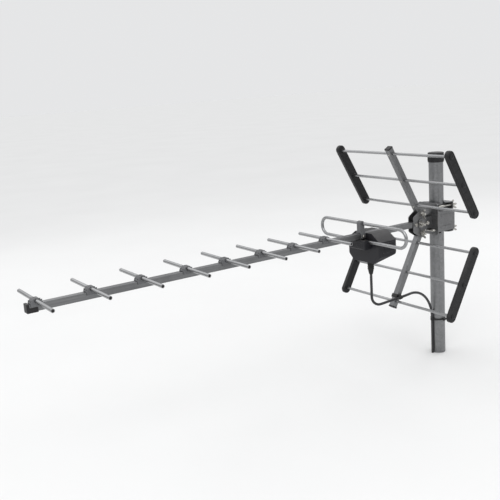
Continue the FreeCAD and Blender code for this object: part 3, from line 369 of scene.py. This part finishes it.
# ---- moulded and pressed edges, rounded by modifiers: the CAD vertices stay as they are ----
EDGE_GROUPS = (  # radius in millimetres, and the nodes that have it
    (0.2, ["clamp_washers", "tilt_lock_washer", "dipole_fasteners"]),
    (0.3, ["clamp_jaws", "clamp_saddles", "hinge_plates", "mast_cable_tie", "boom_fasteners"]),
    (0.3, ["tilt_pivot_bolt", "tilt_pivot_nut", "arm_pivot_bolts"]),
    (0.3, ["tilt_wing_nut", "upper_wing_nut", "lower_wing_nut"] + WING_NUTS),
    (0.35, ["feed_cover"]),
    (0.4, ["dipole_saddle", "boom_rear_cap", "cable_clip", "clamp_bracket"]),
    (0.5, ["dipole_box_lid", "boom_tip_cap", "director_holders", "mast_cap"]),
    (0.6, ["upper_arm_cap", "lower_arm_cap"]),
    (0.8, ["dipole_box"]),
    (1.0, ["upper_end_strips", "lower_end_strips"]),
)
THIN_WALLED = ("feed_cover", "dipole_saddle")
FLAT_ANGLE = math.radians(0.4)
SHARP_ANGLE = math.radians(35)


def soften(node, radius):
    """Rounds a node's sharp edges. Where walls are thin, the bevel stops before it meets another edge."""
    obj = frame["nodes"][node]
    weld = obj.modifiers.new("weld", "WELD")
    weld.merge_threshold = 1e-6
    flat = obj.modifiers.new("flat", "DECIMATE")
    flat.decimate_type = "DISSOLVE"
    flat.angle_limit = FLAT_ANGLE
    bevel = obj.modifiers.new("bevel", "BEVEL")
    bevel.width = radius
    bevel.segments = 2
    bevel.limit_method = "ANGLE"
    bevel.angle_limit = SHARP_ANGLE
    bevel.use_clamp_overlap = node in THIN_WALLED
    normals = obj.modifiers.new("normals", "WEIGHTED_NORMAL")
    normals.keep_sharp = False


for radius_mm, names in EDGE_GROUPS:
    for name in names:
        soften(name, radius_mm * MM)


# ---- mesh helpers ----
SINK = 0.1 * MM  # how far added detail is let into the face that it stands on
BOLT_R = 3.0 * MM
THREAD_PITCH = 1.0 * MM
THREAD_HEIGHT = 0.22 * MM
THREAD_SINK = 0.12 * MM
THREAD_STEPS = 14  # rings in one turn


def add_mesh(name, shells, slot, body, smooth=38.0):
    """One object from a list of closed (vertices, faces) shells, carried by a CAD body."""
    vertices = []
    faces = []
    for shell_vertices, shell_faces in shells:
        base = len(vertices)
        vertices.extend(shell_vertices)
        faces.extend([tuple(base + i for i in f) for f in shell_faces])
    mesh = bpy.data.meshes.new(name)
    mesh.from_pydata([tuple(v) for v in vertices], [], faces)
    mesh.update()
    mesh.materials.append(MATERIALS[slot])
    obj = bpy.data.objects.new(name, mesh)
    bpy.context.scene.collection.objects.link(obj)
    mesh.shade_smooth()
    mesh.set_sharp_from_angle(angle=math.radians(smooth))
    if body is not None:
        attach(obj, body)
    return obj


def rings_to_shell(rings):
    """A closed shell from equal-sized rings of points, capped at both ends. Rings run anticlockwise
    seen from ahead."""
    count = len(rings[0])
    vertices = [p for ring in rings for p in ring]
    faces = []
    for k in range(len(rings) - 1):
        for i in range(count):
            j = (i + 1) % count
            a = k * count
            faces.append((a + i, a + j, a + count + j, a + count + i))
    faces.append(tuple(reversed(range(count))))
    last = (len(rings) - 1) * count
    faces.append(tuple(last + i for i in range(count)))
    return vertices, faces


def across(direction):
    """Two directions square to this one, right-handed with it."""
    helper = Vector((1, 0, 0)) if abs(direction.x) < 0.8 else Vector((0, 1, 0))
    side = direction.cross(helper).normalized()
    return side, direction.cross(side).normalized()


def around(centre, u, v, radius, segments):
    """Points on a circle about a centre, from u towards v."""
    ring = []
    for i in range(segments):
        a = 2 * math.pi * i / segments
        ring.append(centre + (u * math.cos(a) + v * math.sin(a)) * radius)
    return ring


def lathe(start, direction, profile, segments=28):
    """A turned solid: profile is (distance along, radius) from one end to the other."""
    u, v = across(direction)
    return rings_to_shell([around(start + direction * d, u, v, r, segments) for d, r in profile])


def sweep(points, radius, segments=14):
    """A round bar along a path, with frames carried along without twist. The radius is a length, or a
    function of the point's number."""
    rings = []
    tangent = (points[1] - points[0]).normalized()
    u, v = across(tangent)
    for k, p in enumerate(points):
        ahead = points[min(k + 1, len(points) - 1)]
        behind = points[max(k - 1, 0)]
        new_tangent = (ahead - behind).normalized()
        turn = tangent.rotation_difference(new_tangent)
        u = turn @ u
        v = turn @ v
        tangent = new_tangent
        rings.append(around(p, u, v, radius(k) if callable(radius) else radius, segments))
    return rings_to_shell(rings)


def slab(origin, u, v, w, outline, depth, chamfer=0.0):
    """An outline of (u, v) points, anticlockwise seen against w, raised by depth along w, with its top
    edge drawn in by chamfer."""
    n = len(outline)
    centre_u = sum(p[0] for p in outline) / n
    centre_v = sum(p[1] for p in outline) / n

    def drawn_in(p, inset):
        du = p[0] - centre_u
        dv = p[1] - centre_v
        size = math.hypot(du, dv)
        keep = max(0.0, 1.0 - inset / size) if size > 1e-9 else 1.0
        return centre_u + du * keep, centre_v + dv * keep

    levels = [(0.0, 0.0)]
    if chamfer > 0:
        levels += [(depth - chamfer, 0.0), (depth, chamfer)]
    else:
        levels += [(depth, 0.0)]
    rings = []
    for height, inset in levels:
        rings.append([origin + u * a + v * b + w * height for a, b in (drawn_in(p, inset) for p in outline)])
    return rings_to_shell(rings)


def rectangle(half_u, half_v, corner=0.0, steps=4):
    """An outline for slab, anticlockwise, with square or rounded corners."""
    if corner <= 0:
        return [(-half_u, -half_v), (half_u, -half_v), (half_u, half_v), (-half_u, half_v)]
    points = []
    for quarter, (side_u, side_v) in enumerate(((1, 1), (-1, 1), (-1, -1), (1, -1))):
        mu = side_u * (half_u - corner)
        mv = side_v * (half_v - corner)
        for k in range(steps + 1):
            a = math.pi / 2 * (quarter + k / steps)
            points.append((mu + corner * math.cos(a), mv + corner * math.sin(a)))
    return points


def thread(start, end):
    """A rolled M6 thread's ridge wound on a shank, fading out at both ends."""
    length = (end - start).length
    direction = (end - start).normalized()
    u, v = across(direction)
    count = max(8, int(length / THREAD_PITCH * THREAD_STEPS))
    foot_half = direction * THREAD_PITCH * 0.42
    crest_half = direction * THREAD_PITCH * 0.10
    rings = []
    for k in range(count + 1):
        spot = start + direction * (length * k / count)
        a = 2 * math.pi * length * k / count / THREAD_PITCH
        out = u * math.cos(a) + v * math.sin(a)
        fade = min(1.0, 6.0 * k / count, 6.0 * (count - k) / count)
        foot = spot + out * (BOLT_R - THREAD_SINK)
        crest = spot + out * (BOLT_R + THREAD_HEIGHT * fade)
        rings.append([foot + foot_half, crest + crest_half, crest - crest_half, foot - foot_half])
    return rings_to_shell(rings)


def collar(start, direction, inner, outer, length, segments):
    """A closed ring with a bore and a chamfered far edge."""
    u, v = across(direction)
    profile = [
        (0.0, inner),
        (0.0, outer),
        (length * 0.75, outer),
        (length, outer - length * 0.25),
        (length, inner),
    ]
    rings = [around(start + direction * d, u, v, r, segments) for d, r in profile]
    vertices = [p for ring in rings for p in ring]
    faces = []
    for k in range(len(rings)):
        a = k * segments
        b = ((k + 1) % len(rings)) * segments
        for i in range(segments):
            j = (i + 1) % segments
            faces.append((a + i, a + j, b + j, b + i))
    return vertices, faces


def border(centre, u, v, outline, radius):
    """A rounded rim that follows a closed outline."""
    path = [centre + u * a + v * b for a, b in outline]
    path.append(path[0].copy())
    return sweep(path, radius, 8)


# ---- threads on every bolt that stands clear of its nut ----
NUT_HUB = 0.0072  # how much of its bolt a wing nut's hub covers


def thread_on(spot, axis, first, last):
    """A thread on a bolt through a point, between two places on the numbered axis."""
    start = spot.copy()
    start[axis] = first
    end = spot.copy()
    end[axis] = last
    return thread(start, end)


def add_threads():
    last = highest("clamp_u_bolts").y - 0.0006
    shells = [thread_on(pivot(nut + "_spin"), 1, lowest(nut).y + NUT_HUB, last) for nut in WING_NUTS]
    add_mesh("thread_u_bolts", shells, "zinc_steel", "clamp")

    first = highest("tilt_pivot_nut").x + 0.0004
    last = highest("tilt_pivot_bolt").x - 0.0004
    add_mesh("thread_tilt_pivot", [thread_on(pivot("tilt"), 0, first, last)], "zinc_steel", "clamp")

    shells = []
    for nut, bolt in (
        ("tilt_wing_nut", "tilt_lock_bolt"),
        ("upper_wing_nut", "arm_pivot_bolts"),
        ("lower_wing_nut", "arm_pivot_bolts"),
    ):
        last = highest(bolt).x - 0.0005
        shells.append(thread_on(pivot(nut + "_spin"), 0, lowest(nut).x + NUT_HUB, last))
    add_mesh("thread_boom_bolts", shells, "zinc_steel", "boom")


# ---- clamp: beads pressed in the cheeks, marks round the tilt slot, pads on the jaws, mast seam ----
EAR_FACE_X = 0.0122
TILT_MARK_R = 0.0282
TILT_MARK_STEP = 5  # degrees


def add_clamp_detail():
    face_x = highest("clamp_bracket").x
    shells = []
    for side in SIDES:
        out = X * side
        for height in (-14, 16):
            centre = Vector((side * (face_x - 2 * SINK), -0.002, level(height)))
            shells.append(slab(centre, Y * side, Z, out, rectangle(0.020, 0.0028, 0.0027, 5), 0.0015, 0.0009))
        for k in range(-2, 4):
            a = math.radians(TILT_MARK_STEP * k)
            ahead = Vector((0, -math.cos(a), math.sin(a)))
            up = Vector((0, math.sin(a), math.cos(a)))
            spot = pivot("tilt") + ahead * TILT_MARK_R + out * (EAR_FACE_X - SINK)
            mark = rectangle(0.0013 if k else 0.0019, 0.0002)
            shells.append(slab(spot, ahead * -side, up, out, mark, 0.00035))
    add_mesh("bracket_beads", shells, "clamp_steel", "clamp")

    shells = []
    for nut in WING_NUTS:
        bolt = pivot(nut + "_spin")
        spot = Vector((math.copysign(0.0125, bolt.x), highest("clamp_jaws").y - SINK, bolt.z))
        shells.append(slab(spot, -X, Z, Y, rectangle(0.006, 0.0045, 0.002), 0.0008, 0.0005))
    add_mesh("jaw_embossing", shells, "clamp_steel", "clamp")

    # welding bead left where the mast tube was closed along its length
    steps = 160
    angle = math.radians(118)
    foot = Vector((math.sin(angle), math.cos(angle), 0)) * (MAST_R + 0.00002) + Z * 0.004
    rise = Z * (highest("mast_tube").z - 0.030)
    path = [foot + rise * (k / steps) for k in range(steps + 1)]
    seam = sweep(path, lambda k: 0.00045 + 0.00008 * math.sin(400 * k / steps), 8)
    add_mesh("mast_seam", [seam], "mast_steel", "mast")


# ---- director holders: side gussets, top rib, gate mark; plugs in the ends of the directors ----
def add_holder_detail():
    top = highest("boom_tube").z
    shells = []
    for director in DIRECTORS:
        y = middle(director).y
        for side in SIDES:
            for way in SIDES:
                foot = Vector((side * 0.0052, y + way * 0.0088, top + 0.0035))
                shells.append(slab(foot, X, Y, Z, rectangle(0.0006, 0.0032), 0.0028, 0.0003))
        crown = Vector((0, y, top + 0.0098))
        shells.append(slab(crown, X, Y, Z, rectangle(0.0065, 0.0011, 0.001, 3), 0.0010, 0.0004))
        gate = crown - Y * 0.0036
        shells.append(lathe(gate, Z, [(0, 0.0009), (0.0006, 0.0009), (0.0008, 0.0006)], 12))
    add_mesh("holder_ribs", shells, "grey_plastic", "boom")

    profile = [(0.0, 0.00285), (0.0022, 0.00285), (0.0027, 0.0022), (0.0029, 0.0010)]
    shells = []
    for director in DIRECTORS:
        centre = middle(director)
        for side in SIDES:
            start = centre + X * side * (highest(director).x - 0.0030)
            shells.append(lathe(start, X * side, profile, 20))
    add_mesh("director_end_plugs", shells, "black_plastic", "boom")


# ---- reflector panels: rim, rod bosses, cross ribs and rod collars on the end strips; rivets in the arm ----
ARM_LEAN = math.radians(29.6)
ARM_HALF = 0.0075
STRIP_MIDDLE = 0.109  # places along the arm are measured from its pivot
ROD_SPACING = 0.082
RIB_SPACING = ROD_SPACING / 4
STRIP_DEPTH = 0.011
RODS = [STRIP_MIDDLE + ROD_SPACING * k for k in (-1, 0, 1)]


def panel_axes(panel):
    """The way along a panel's arm from its pivot, and the way square to it across the panel's face."""
    up = 1 if panel == "upper" else -1
    along = Vector((0, -math.sin(ARM_LEAN), up * math.cos(ARM_LEAN)))
    return along, X.cross(along)


def stadium(centre, u, v, reach, half):
    """A closed path: two straights along u, joined by half circles."""
    path = []
    for way in (1, -1):
        for k in range(13):
            a = math.pi * k / 12
            path.append(centre + (u * (reach + half * math.sin(a)) - v * (half * math.cos(a))) * way)
    path.append(path[0].copy())
    return path


def add_strip_detail(panel):
    root = pivot(panel + "_fold")
    along, cross = panel_axes(panel)
    body = panel + "_reflector"
    face_x = highest(panel + "_end_strips").x
    boss = [(0, 0.0062), (0.0012, 0.0062), (0.0017, 0.0056), (0.0019, 0.0034), (0.0011, 0.0028)]
    shells = []
    for side in SIDES:
        out = X * side
        v = out.cross(along)
        face = root + out * (face_x - SINK)
        shells.append(sweep(stadium(face + along * STRIP_MIDDLE, along, v, 0.085, 0.0100), 0.0009, 8))
        for s in RODS:
            shells.append(lathe(face + along * s, out, boss, 32))
        for k in (-3, -2, -1, 1, 2, 3):
            spot = face + along * (STRIP_MIDDLE + RIB_SPACING * k)
            shells.append(slab(spot, along, v, out, rectangle(0.0006, 0.0095), 0.0008, 0.0002))
        for s in RODS:
            inner = root + along * s + out * (face_x - STRIP_DEPTH + SINK)
            shells.append(collar(inner, -out, 0.00358, 0.0056, 0.0018, 28))
    add_mesh(panel + "_strip_ribs", shells, "strip_plastic", body)

    rivet = [(0, 0.0024), (0.0004, 0.0024), (0.0010, 0.0018), (0.0013, 0.0008)]
    arm_face = root + cross * (ARM_HALF - SINK / 2)
    shells = [lathe(arm_face + along * s, cross, rivet, 18) for s in RODS]
    add_mesh(panel + "_arm_rivets", shells, "zinc_steel", body)


# ---- dipole box: framed ribs on its sides, its feed cover and its lid ----
PANEL_LEVEL = -28  # millimetres from the boom's axis
LID_FACE = 0.0042  # from the lid's inner rim to its outer face


def add_box_detail():
    box = middle("dipole_box")
    shells = []
    for side in SIDES:
        out = X * side
        u = Y * side
        centre = Vector((side * (highest("dipole_box").x - SINK), box.y - 0.0030, level(PANEL_LEVEL)))
        shells.append(border(centre, u, Z, rectangle(0.0190, 0.0120, 0.004, 5), 0.0009))
        for k in range(-2, 3):
            rib = rectangle(0.0007, 0.0078)
            shells.append(slab(centre + Y * (0.0060 * k), u, Z, out, rib, 0.0009, 0.0003))
    add_mesh("box_side_panels", shells, "box_plastic", "boom")

    centre = Vector((0, lowest("feed_cover").y + SINK, middle("feed_cover").z - 0.001))
    shells = [border(centre, X, Z, rectangle(0.0195, 0.0070, 0.003, 5), 0.0008)]
    for k in range(4):
        spot = centre + X * (0.008 * (k - 1.5))
        shells.append(slab(spot, X, Z, -Y, rectangle(0.0012, 0.0042, 0.0011), 0.0007, 0.0004))
    add_mesh("feed_cover_ribs", shells, "box_plastic", "boom")

    centre = Vector((0, lowest("dipole_box_lid").y + LID_FACE - SINK, level(PANEL_LEVEL)))
    shells = [border(centre, -X, Z, rectangle(0.0470, 0.0120, 0.003, 5), 0.0008)]
    for k in range(-3, 4):
        rib = rectangle(0.0008, 0.0085, 0.0007, 3)
        shells.append(slab(centre + X * (0.012 * k), -X, Z, Y, rib, 0.0007, 0.0003))
    add_mesh("lid_ribs", shells, "box_plastic", "lid")


# ---- inside the box: winding, solder joints, printed tracks ----
WIRE_R = 0.00032
WIRE_GAP = 0.0007
CORE_HOLE_X = 0.0032
COIL_TURNS = 3
COIL_STEPS = 32
TERMINAL_PADS = ((0.0118, -0.2505), (0.0045, -0.2355))  # x to each side, y
TRACKS = ((0.0118, -0.250, -0.236), (0.0200, -0.2355, -0.2225))  # x to each side, y from and to


def add_inside():
    centre = middle("balun_core")
    shells = []
    for side in SIDES:
        path = []
        for k in range(COIL_TURNS * COIL_STEPS + 1):
            turn = k / COIL_STEPS
            a = 2 * math.pi * turn
            x = side * CORE_HOLE_X + (turn - COIL_TURNS / 2) * WIRE_GAP
            y = centre.y + math.copysign(min(abs(math.cos(a)) * 0.0072, 0.0065), math.cos(a))
            z = centre.z + 0.0047 * (1 + math.sin(a)) / 2 + 0.0003 + 0.0004 * turn
            path.append(Vector((x, y, z)))
        shells.append(sweep(path, WIRE_R, 8))
    for side in SIDES:
        start = Vector((side * CORE_HOLE_X, lowest("balun_core").y - 0.0003, centre.z))
        path = []
        for k in range(17):
            t = k / 16
            rise = 0.0035 * math.sin(math.pi * t) - 0.0033 * t
            path.append(start + Vector((side * 0.0085 * t, -0.017 * t, rise)))
        shells.append(sweep(path, WIRE_R, 8))
    add_mesh("balun_winding", shells, "copper", "boom")

    top = highest("balun_board").z
    spots = [(0.0, PLUG_Y)]
    for side in SIDES:
        spots += [(side * x, y) for x, y in TERMINAL_PADS]
    joint = [(0, 0.0017), (0.0003, 0.0016), (0.0009, 0.0010), (0.0016, 0.0006)]
    shells = [lathe(Vector((x, y, top - SINK)), Z, joint, 18) for x, y in spots]
    add_mesh("solder_joints", shells, "solder", "boom")

    foot = top - 0.00003
    shells = []
    for side in SIDES:
        for x, y0, y1 in TRACKS:
            spot = Vector((side * x, (y0 + y1) / 2, foot))
            shells.append(slab(spot, X, Y, Z, rectangle(0.0009, (y1 - y0) / 2), 0.00009))
        spot = Vector((side * 0.0160, -0.2357, foot))
        shells.append(slab(spot, X, Y, Z, rectangle(0.0045, 0.0008), 0.00011))
    add_mesh("board_tracks", shells, "copper", "boom")


# ---- soft parts: weather boot rings, cable, ties ----
def add_boot():
    centre = middle("weather_boot")
    radius = radius_of("weather_boot")
    shells = []
    for k in range(5):
        start = Vector((centre.x, centre.y, highest("weather_boot").z - 0.0035 - 0.0046 * k))
        shells.append(collar(start, -Z, radius - 0.0008, radius + 0.0007, 0.0020, 36))
    for k in range(3):
        start = Vector((centre.x, centre.y, lowest("weather_boot").z + 0.0016 + 0.0030 * k))
        tail = 0.0046 + 0.00055 * k
        shells.append(collar(start, Z, tail - 0.0006, tail + 0.0006, 0.0014, 30))
    add_mesh("boot_rings", shells, "boot_rubber", "boom")


CABLE_SIDES = 24
CABLE_STEP = 0.0022
CABLE_BENDS = (0.024, 0.040, 0.094)
SAG_LEVEL = -191  # millimetres from the boom's axis, like the next two
MAST_CORNER_LEVEL = -177
NEAR_MAST_LEVEL = -205
CLIP_PLACE = 0.178
CLIP_X = 0.0146


def clip_point():
    """Where the cable leaves its clip on the lower arm."""
    along, _ = panel_axes("lower")
    spot = pivot("lower_fold") + along * CLIP_PLACE
    spot.x = CLIP_X
    return spot


def straight(start, end):
    count = max(2, int((end - start).length / CABLE_STEP))
    return [start.lerp(end, k / count) for k in range(1, count + 1)]


def cable_centreline():
    """The cable's path from inside the boot to the mast tie: straight stretches joined by arcs."""
    clip = clip_point()
    sag = Vector((0, PLUG_Y, level(SAG_LEVEL)))
    corners = [
        Vector((0, PLUG_Y, highest("coax_drop").z)),
        sag,
        clip + (clip - sag).normalized() * 0.012,
        Vector((0, DOWNLEAD_Y, level(MAST_CORNER_LEVEL))),
        Vector((0, DOWNLEAD_Y, highest("coax_downlead").z)),
    ]
    path = [corners[0]]
    start = corners[0]
    for here, ahead, bend in zip(corners[1:-1], corners[2:], CABLE_BENDS):
        way_in = (here - start).normalized()
        way_out = (ahead - here).normalized()
        angle = way_in.angle(way_out)
        back = bend * math.tan(angle / 2)
        arc_start = here - way_in * back
        path += straight(path[-1], arc_start)
        axis = way_in.cross(way_out).normalized()
        centre = arc_start + axis.cross(way_in) * bend
        pieces = max(4, int(bend * angle / CABLE_STEP))
        for k in range(1, pieces + 1):
            turn = Matrix.Rotation(angle * k / pieces, 3, axis)
            path.append(centre + turn @ (arc_start - centre))
        start = here + way_out * back
    return path + straight(path[-1], corners[-1])


def nearest(path, spot):
    return min(range(len(path)), key=lambda k: (path[k] - spot).length)


def bend_by_length(run, bend_start):
    """Works out, for each ring, a weight that rises smoothly along the cable's length from the bend's start to the
    run's end; the weights are not stored or returned.
    """
    lengths = [0.0]
    for a, b in zip(run, run[1:]):
        lengths.append(lengths[-1] + (b - a).length)
    begin = lengths[nearest(run, bend_start)]
    weights = []
    for length in lengths:
        t = max(0.0, (length - begin) / (lengths[-1] - begin))
        weights += [t * t * (3 - 2 * t)] * CABLE_SIDES


def add_cable():
    path = cable_centreline()
    end = len(path) - 1
    at_clip = nearest(path, clip_point())
    under_hub = next(k for k in range(at_clip, end) if path[k].y > -0.105)
    near_mast = next(k for k in range(under_hub, end) if path[k].z < level(NEAR_MAST_LEVEL))
    boot_end = Vector((0, PLUG_Y, lowest("weather_boot").z))
    for name, first, last, bend_start, body_a, body_b in (
        ("cable_drop", 0, at_clip, boot_end, "boom", "lower_reflector"),
        ("cable_span_a", at_clip, under_hub, path[at_clip], "lower_reflector", "boom"),
        ("cable_span_b", under_hub, near_mast, path[under_hub], "boom", "clamp"),
        ("cable_span_c", near_mast, end, path[near_mast], "clamp", "mast"),
    ):
        run = path[first:last + 1]
        obj = add_mesh(name, [sweep(run, CABLE_R, CABLE_SIDES)], "cable_jacket", None, 60.0)
        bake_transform(obj)
        bend_by_length(run, bend_start)
    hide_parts("coax_drop")
    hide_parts("coax_loop")

    # the cut end at the foot of the mast: a disc of foam inside the sheath
    foot = Vector((0, DOWNLEAD_Y, lowest("coax_downlead").z + 0.0002))
    foam = lathe(foot, -Z, [(0, 0.0024), (0.0001, 0.0024), (0.0002, 0.0023)], 24)
    add_mesh("cable_end_foam", [foam], "dielectric", "mast")


def add_tie_detail():
    """Ladder teeth on the cable tie's free tail, and grip ribs round the mast cap."""
    shells = []
    for k in range(7):
        spot = Vector((MAST_R + 0.0043, 0.0042 + 0.0012 * k, middle("mast_cable_tie").z))
        shells.append(slab(spot, Y, Z, X, rectangle(0.0003, 0.0016), 0.0003, 0.0001))
    add_mesh("tie_teeth", shells, "black_plastic", "mast")

    radius = radius_of("mast_cap") - 0.00015
    count = 36
    shells = []
    for k in range(count):
        a = 2 * math.pi * k / count
        out = Vector((math.cos(a), math.sin(a), 0))
        spot = out * radius + Z * (middle("mast_cap").z - 0.002)
        shells.append(slab(spot, Z.cross(out), Z, out, rectangle(0.0006, 0.0070, 0.0005, 3), 0.0006, 0.0003))
    add_mesh("mast_cap_grip", shells, "black_plastic", "mast")


add_threads()
add_clamp_detail()
add_holder_detail()
add_strip_detail("upper")
add_strip_detail("lower")
add_box_detail()
add_inside()
add_boot()
add_cable()
add_tie_detail()


# ---- studio: pale floor, soft lights, camera ----
FLOOR_SHADE = 0.80
FLOOR_HALF = 30.0
FLOOR_GAP = 0.0004
SKY_LIGHT = 1.0
CAMERA_AZIMUTH = math.radians(56.3)
CAMERA_ELEVATION = math.radians(12.45)
CAMERA_ROLL = math.radians(-3.73)
CAMERA_SPOT = Vector((1.403, -1.508, 0.760))


def add_floor():
    z = lowest("mast_tube").z - FLOOR_GAP
    mesh = bpy.data.meshes.new("studio_floor")
    corners = [(x, y, z) for x, y in rectangle(FLOOR_HALF, FLOOR_HALF)]
    mesh.from_pydata(corners, [], [(0, 1, 2, 3)])
    mesh.materials.append(floor_material())
    floor = bpy.data.objects.new("studio_floor", mesh)
    bpy.context.scene.collection.objects.link(floor)


def add_sky():
    """Soft light from all round. Shiny parts see it darker towards the horizon, and the camera sees the
    floor's own shade, so no horizon shows."""
    world = bpy.data.worlds.new("studio_world")
    world.use_nodes = True
    tree = world.node_tree
    tree.nodes.clear()
    output = tree.nodes.new("ShaderNodeOutputWorld")
    background = tree.nodes.new("ShaderNodeBackground")
    path = tree.nodes.new("ShaderNodeLightPath")
    place = tree.nodes.new("ShaderNodeTexCoord")
    split = tree.nodes.new("ShaderNodeSeparateXYZ")
    rise = tree.nodes.new("ShaderNodeMapRange")
    shiny = tree.nodes.new("ShaderNodeMix")
    seen = tree.nodes.new("ShaderNodeMix")
    links = tree.links
    links.new(place.outputs["Generated"], split.inputs[0])
    links.new(split.outputs["Z"], rise.inputs["Value"])
    rise.interpolation_type = "SMOOTHSTEP"
    rise.inputs["From Min"].default_value = -0.05
    rise.inputs["From Max"].default_value = 0.75
    rise.inputs["To Min"].default_value = 0.30
    rise.inputs["To Max"].default_value = 1.25
    shiny.inputs[2].default_value = SKY_LIGHT
    links.new(path.outputs["Is Glossy Ray"], shiny.inputs[0])
    links.new(rise.outputs["Result"], shiny.inputs[3])
    seen.inputs[3].default_value = FLOOR_SHADE * SKY_LIGHT
    links.new(path.outputs["Is Camera Ray"], seen.inputs[0])
    links.new(shiny.outputs[0], seen.inputs[2])
    links.new(seen.outputs[0], background.inputs["Strength"])
    background.inputs["Color"].default_value = (0.985, 0.99, 1.0, 1.0)
    links.new(background.outputs[0], output.inputs[0])
    bpy.context.scene.world = world


def add_lamps():
    target = Vector((0.0, -0.45, 0.33))
    for name, spot, size, power in (
        ("key_light", Vector((1.5, -2.1, 2.5)), 1.3, 22.0),
        ("fill_light", Vector((-1.9, -1.0, 1.6)), 2.0, 5.0),
        ("rim_light", Vector((-0.6, 1.8, 1.9)), 1.2, 8.0),
    ):
        lamp = bpy.data.lights.new(name, "AREA")
        lamp.size = size
        lamp.energy = power
        obj = bpy.data.objects.new(name, lamp)
        obj.location = spot
        obj.rotation_euler = (target - spot).to_track_quat("-Z", "Y").to_euler()
        bpy.context.scene.collection.objects.link(obj)


def add_camera():
    lens = bpy.data.cameras.new("camera")
    lens.sensor_width = 36.0
    lens.lens = 55.0
    lens.shift_x = -0.02
    lens.clip_start = 0.02
    camera = bpy.data.objects.new("camera", lens)
    bpy.context.scene.collection.objects.link(camera)
    back = Vector((
        math.sin(CAMERA_AZIMUTH) * math.cos(CAMERA_ELEVATION),
        -math.cos(CAMERA_AZIMUTH) * math.cos(CAMERA_ELEVATION),
        math.sin(CAMERA_ELEVATION),
    ))
    right = Z.cross(back).normalized()
    up = back.cross(right)
    turned_right = right * math.cos(CAMERA_ROLL) + up * math.sin(CAMERA_ROLL)
    turned_up = -right * math.sin(CAMERA_ROLL) + up * math.cos(CAMERA_ROLL)
    columns = (turned_right, turned_up, back, CAMERA_SPOT)
    camera.matrix_world = Matrix([[column[row] for column in columns] for row in range(3)] + [[0, 0, 0, 1]])
    bpy.context.scene.camera = camera


add_floor()
add_sky()
add_lamps()
add_camera()
bpy.context.scene.view_settings.view_transform = "Standard"
